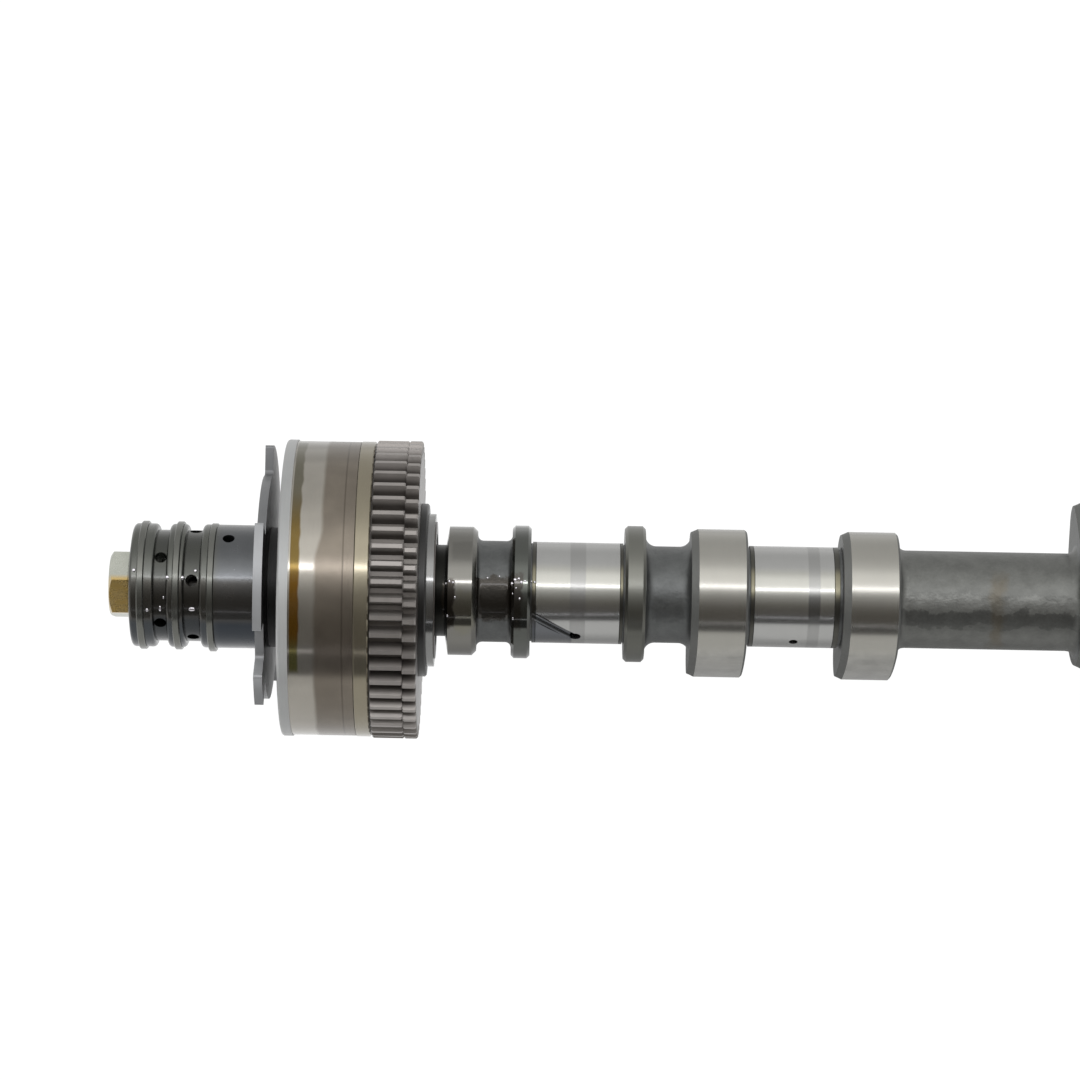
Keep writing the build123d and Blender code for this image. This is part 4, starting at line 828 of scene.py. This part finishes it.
class CAMSHAFT_OT_wheel(Operator):
    """Finish the trigger wheel"""

    bl_idname = "camshaft.wheel"
    bl_label = "Trigger wheel"

    def execute(self, context):
        dress(["trigger_wheel"], wheel_finish(context.scene.phaser_finish))
        return {"FINISHED"}


class CAMSHAFT_OT_phaser(Operator):
    """Finish the phaser's cover, housing and sealing plate, and what is inside"""

    bl_idname = "camshaft.phaser"
    bl_label = "Phaser"

    def execute(self, context):
        look = context.scene.phaser_finish
        dress(["front_cover"], cover_finish(look))
        dress(["stator_housing"], band_finish(look, context.scene.snout_finish.amber))
        dress(["sealing_plate"], plate_finish(look))
        dress(["rotor"], plain_steel("sintered_steel", look.rotor, roughness=0.5))
        dress(["cover_screws"], plain_steel("screw_steel", look.screw, roughness=0.35))
        inner = ["nose_dowel", "wheel_dowels", "lock_pin", "lock_bush"]
        dress(inner, plain_steel("pin_steel", look.pin, roughness=0.25))
        springs = ["vane_seal_springs", "lock_spring"]
        dress(springs, plain_steel("spring_steel", look.spring, roughness=0.35))
        seals = Finish("seal_plastic")
        seals_tone = seals.shade(look.seal, 0.7 + 0.6 * seals.noise(1.5))
        dress(["vane_seals"], seals.surface(Base_Color=seals_tone, Roughness=0.5))
        return {"FINISHED"}


class CAMSHAFT_OT_gears(Operator):
    """Finish the split gear with its spring, its pins, the thrust plate and the snap ring"""

    bl_idname = "camshaft.gears"
    bl_label = "Split gear"

    def execute(self, context):
        look = context.scene.phaser_finish
        dress(["main_gear", "scissor_gear"], gear_finish(look))
        pins = ["main_spring_pin", "scissor_spring_pin"]
        dress(pins, plain_steel("gear_pin_steel", look.gear_pin, roughness=0.3))
        dress(["scissor_spring"], plain_steel("blue_spring_steel", look.spring_ring, roughness=0.35))
        dress(["thrust_plate"], plain_steel("phosphated_steel", look.thrust_plate, roughness=0.33))
        dress(["snap_ring"], plain_steel("bright_steel", look.snap_ring, roughness=0.13))
        return {"FINISHED"}


class CAMSHAFT_OT_drops(Operator):
    """Lay the oil drops on the snout and on the front of the shaft"""

    bl_idname = "camshaft.drops"
    bl_label = "Oil drops"

    def execute(self, context):
        oil = Finish("oil_drop")
        material = oil.surface(Base_Color=context.scene.snout_finish.drop, Metallic=1.0, Roughness=0.12)
        for name, solid, spots in (
            ("snout_drops", "ring_carrier", SNOUT_DROPS),
            ("shaft_drops", "camshaft", SHAFT_DROPS),
        ):
            lay_drops(name, solid, spots).data.materials.append(material)
        return {"FINISHED"}


class CAMSHAFT_OT_stage(Operator):
    """Set the white floor, the studio's lights and the camera"""

    bl_idname = "camshaft.stage"
    bl_label = "Stage"

    def execute(self, context):
        studio = context.scene.studio_sizes
        set_floor(studio)
        set_world()
        set_strip("high_strip", studio.strip_strength, reach=0.9, height=radians(59.0), width=0.055)
        set_strip("low_strip", studio.low_strip_strength, reach=0.4, height=radians(-4.8), width=0.009)
        set_camera(context.scene, studio)
        context.scene.view_settings.view_transform = "Standard"
        return {"FINISHED"}


# Half the floor's width, and the station of its middle, in metres
FLOOR_HALF = 1.5
FLOOR_MIDDLE = 0.09


def set_floor(studio):
    """A white floor under the lowest teeth. Mirrored, it shows painted shade towards the viewer and a painted
    shadow under the shaft.
    """
    mesh = bmesh.new()
    bmesh.ops.create_grid(mesh, x_segments=1, y_segments=1, size=FLOOR_HALF)
    bmesh.ops.translate(mesh, verts=mesh.verts, vec=(FLOOR_MIDDLE, 0.0, SOLIDS_BOX[0][2]))
    data = bpy.data.meshes.new("floor")
    mesh.to_mesh(data)
    mesh.free()
    floor = bpy.data.objects.new("floor", data)
    bpy.context.scene.collection.objects.link(floor)

    paint = Finish("floor_white")
    split = paint.node("ShaderNodeSeparateXYZ", inputs={"Vector": paint.here})
    across = Value(paint, split.outputs["Y"])
    along = Value(paint, split.outputs["X"])
    # Painted shadow under the shaft and painted shade towards the viewer, seen only in reflections
    shadow_under_shaft = paint.step(across, -0.045, -0.005) * (1 - paint.step(across, 0.02, 0.06))
    shadow_under_shaft = shadow_under_shaft * paint.step(along, -0.045, -0.035)
    pool = (0.1 + 0.9 * paint.step(across, -0.134, -0.114)) * (1 - 0.5 * shadow_under_shaft)
    pool = pool * (1 - 0.15 * paint.step(across, 0.05, 0.09))
    path = paint.node("ShaderNodeLightPath").outputs
    seen = Value(paint, path["Is Camera Ray"])
    mirrored = Value(paint, path["Is Glossy Ray"]) + Value(paint, path["Is Transmission Ray"])
    strength = seen * 1.06 + (1 - seen) * pool
    glow = paint.node("ShaderNodeEmission", inputs={"Color": (1.0, 1.0, 1.0), "Strength": strength})
    matt = paint.node("ShaderNodeBsdfDiffuse", inputs={"Color": (studio.floor_tone,) * 3})
    share = paint.math("MINIMUM", seen * 0.95 + mirrored, 1.0)
    mixed = paint.node("ShaderNodeMixShader", inputs={"Fac": share})
    paint.tree.links.new(matt.outputs[0], mixed.inputs[1])
    paint.tree.links.new(glow.outputs[0], mixed.inputs[2])
    paint.node("ShaderNodeOutputMaterial", inputs={"Surface": mixed.outputs[0]})
    floor.data.materials.append(paint.material)


# The dark gap that the shaft mirrors at the viewer's horizon
DARK_GAP = (0.14, 0.13, 0.115)

# Brightness round the shaft: the angle from the viewer's horizon over the top, and a share of white
SKY = (
    (-180.0, 1.0), (-160.0, 1.12), (-90.0, 0.8), (-30.0, DARK_GAP), (12.0, DARK_GAP),
    (24.0, (0.2, 0.19, 0.175)), (36.0, (0.42, 0.41, 0.4)), (48.0, 0.75), (56.0, 1.4), (66.0, 2.05),
    (84.0, 1.85), (98.0, 1.2), (115.0, 0.94), (150.0, 0.84), (180.0, 1.0),
)

# A colour ramp holds shares up to 1, so the sky's are divided by this and its strength is raised by it
SKY_LIMIT = 4.0


def set_world():
    """A white studio: bright above, a dark gap at the viewer's horizon, and a white sweep behind."""
    world = bpy.data.worlds.new("studio")
    world.use_nodes = True
    bpy.context.scene.world = world
    tree = Tree(world.node_tree)
    direction = tree.node("ShaderNodeTexCoord").outputs["Generated"]
    split = tree.node("ShaderNodeSeparateXYZ", inputs={"Vector": direction})
    across = Value(tree, split.outputs["Y"])
    upwards = Value(tree, split.outputs["Z"])
    along = tree.math("ABSOLUTE", Value(tree, split.outputs["X"]))
    around = tree.math("ARCTAN2", upwards, -across) * degrees(1.0)
    stops = []
    for angle, tone in SKY:
        shares = tone if hasattr(tone, "__len__") else (tone, tone, tone)
        stops.append(((angle + 180.0) / 360.0, [share / SKY_LIMIT for share in shares]))
    ramp = tree.node("ShaderNodeValToRGB", {"stops": stops}, {"Fac": (around + 180.0) / 360.0})
    dome = 0.55 + 0.75 * tree.step(upwards, -0.1, 0.9)
    dome_tone = tree.shade((1.0, 1.0, 1.0), dome / SKY_LIMIT)
    sky = tree.mix(ramp.outputs["Color"], dome_tone, tree.step(along, 0.6, 0.95))
    seen = Value(tree, tree.node("ShaderNodeLightPath").outputs["Is Camera Ray"])
    tone = tree.mix(sky, (1.0, 1.0, 1.0), seen)
    strength = SKY_LIMIT + (1.0 - SKY_LIMIT) * seen
    glow = tree.node("ShaderNodeBackground", inputs={"Color": tone, "Strength": strength})
    tree.node("ShaderNodeOutputWorld", inputs={"Surface": glow.outputs[0]})


# A strip lamp's length in metres, and its cool white
STRIP_LENGTH = 1.6
STRIP_TONE = (0.95, 0.95, 1.0)


def set_strip(name, strength, reach, height, width):
    """A thin strip lamp along the shaft on the viewer's side, which draws a line on every round face."""
    data = bpy.data.lights.new(name, "AREA")
    data.shape = "RECTANGLE"
    data.size = STRIP_LENGTH
    data.size_y = width
    data.color = STRIP_TONE
    data.energy = strength * pi * data.size * data.size_y
    lamp = bpy.data.objects.new(name, data)
    bpy.context.scene.collection.objects.link(lamp)
    lamp.location = (0.0, -reach * cos(height), reach * sin(height))
    lamp.rotation_euler = Euler((pi / 2 - height, 0.0, 0.0))
    lamp.visible_camera = False


# The camera's sensor, in millimetres
SENSOR_WIDTH = 36.0


def set_camera(scene, studio):
    """The camera looks down on the shaft from its long side, with a slight lean."""
    ahead = Vector((0.0, cos(VIEW_ELEVATION), -sin(VIEW_ELEVATION)))
    upright = Vector((0.0, sin(VIEW_ELEVATION), cos(VIEW_ELEVATION)))
    right = Vector((1.0, 0.0, 0.0))
    aim = Vector((studio.aim_station, 0.0, 0.0)) + studio.aim_lift * upright
    across = right * cos(studio.roll) + upright * sin(studio.roll)
    above = upright * cos(studio.roll) - right * sin(studio.roll)
    turn = Matrix((across, above, -ahead)).transposed().to_4x4()
    data = bpy.data.cameras.new("camera")
    data.lens = studio.lens
    data.sensor_width = SENSOR_WIDTH
    camera = bpy.data.objects.new("camera", data)
    scene.collection.objects.link(camera)
    camera.matrix_world = Matrix.Translation(aim - ahead * studio.distance) @ turn
    scene.camera = camera


# The add-on

class CAMSHAFT_PT_looks(Panel):
    """Lists the pieces and the settings of their finishes"""

    bl_idname = "CAMSHAFT_PT_looks"
    bl_label = "Camshaft"
    bl_space_type = "VIEW_3D"
    bl_region_type = "UI"
    bl_category = "Camshaft"

    def draw(self, context):
        for name, (settings, operators) in SECTIONS.items():
            box = self.layout.box()
            group = getattr(context.scene, name)
            for setting in settings.__annotations__:
                box.prop(group, setting)
            for operator in operators:
                box.operator(operator.bl_idname)


SECTIONS = {
    "shaft_finish": (ShaftFinish, [CAMSHAFT_OT_shaft]),
    "snout_finish": (SnoutFinish, [CAMSHAFT_OT_snout, CAMSHAFT_OT_drops]),
    "phaser_finish": (PhaserFinish, [CAMSHAFT_OT_wheel, CAMSHAFT_OT_phaser, CAMSHAFT_OT_gears]),
    "studio_sizes": (StudioSizes, [CAMSHAFT_OT_stage]),
}


def register():
    """Register the settings, the operators and the panel."""
    for name, (settings, operators) in SECTIONS.items():
        bpy.utils.register_class(settings)
        setattr(bpy.types.Scene, name, PointerProperty(type=settings))
        for operator in operators:
            bpy.utils.register_class(operator)
    bpy.utils.register_class(CAMSHAFT_PT_looks)


def unregister():
    """Take the panel, the operators and the settings away again."""
    bpy.utils.unregister_class(CAMSHAFT_PT_looks)
    for name, (settings, operators) in reversed(SECTIONS.items()):
        for operator in operators:
            bpy.utils.unregister_class(operator)
        delattr(bpy.types.Scene, name)
        bpy.utils.unregister_class(settings)


def main():
    """Build the looks in order."""
    register()
    bpy.ops.camshaft.stage()
    bpy.ops.camshaft.shaft()
    bpy.ops.camshaft.snout()
    bpy.ops.camshaft.wheel()
    bpy.ops.camshaft.phaser()
    bpy.ops.camshaft.gears()
    bpy.ops.camshaft.drops()


if __name__ == "__main__":
    main()
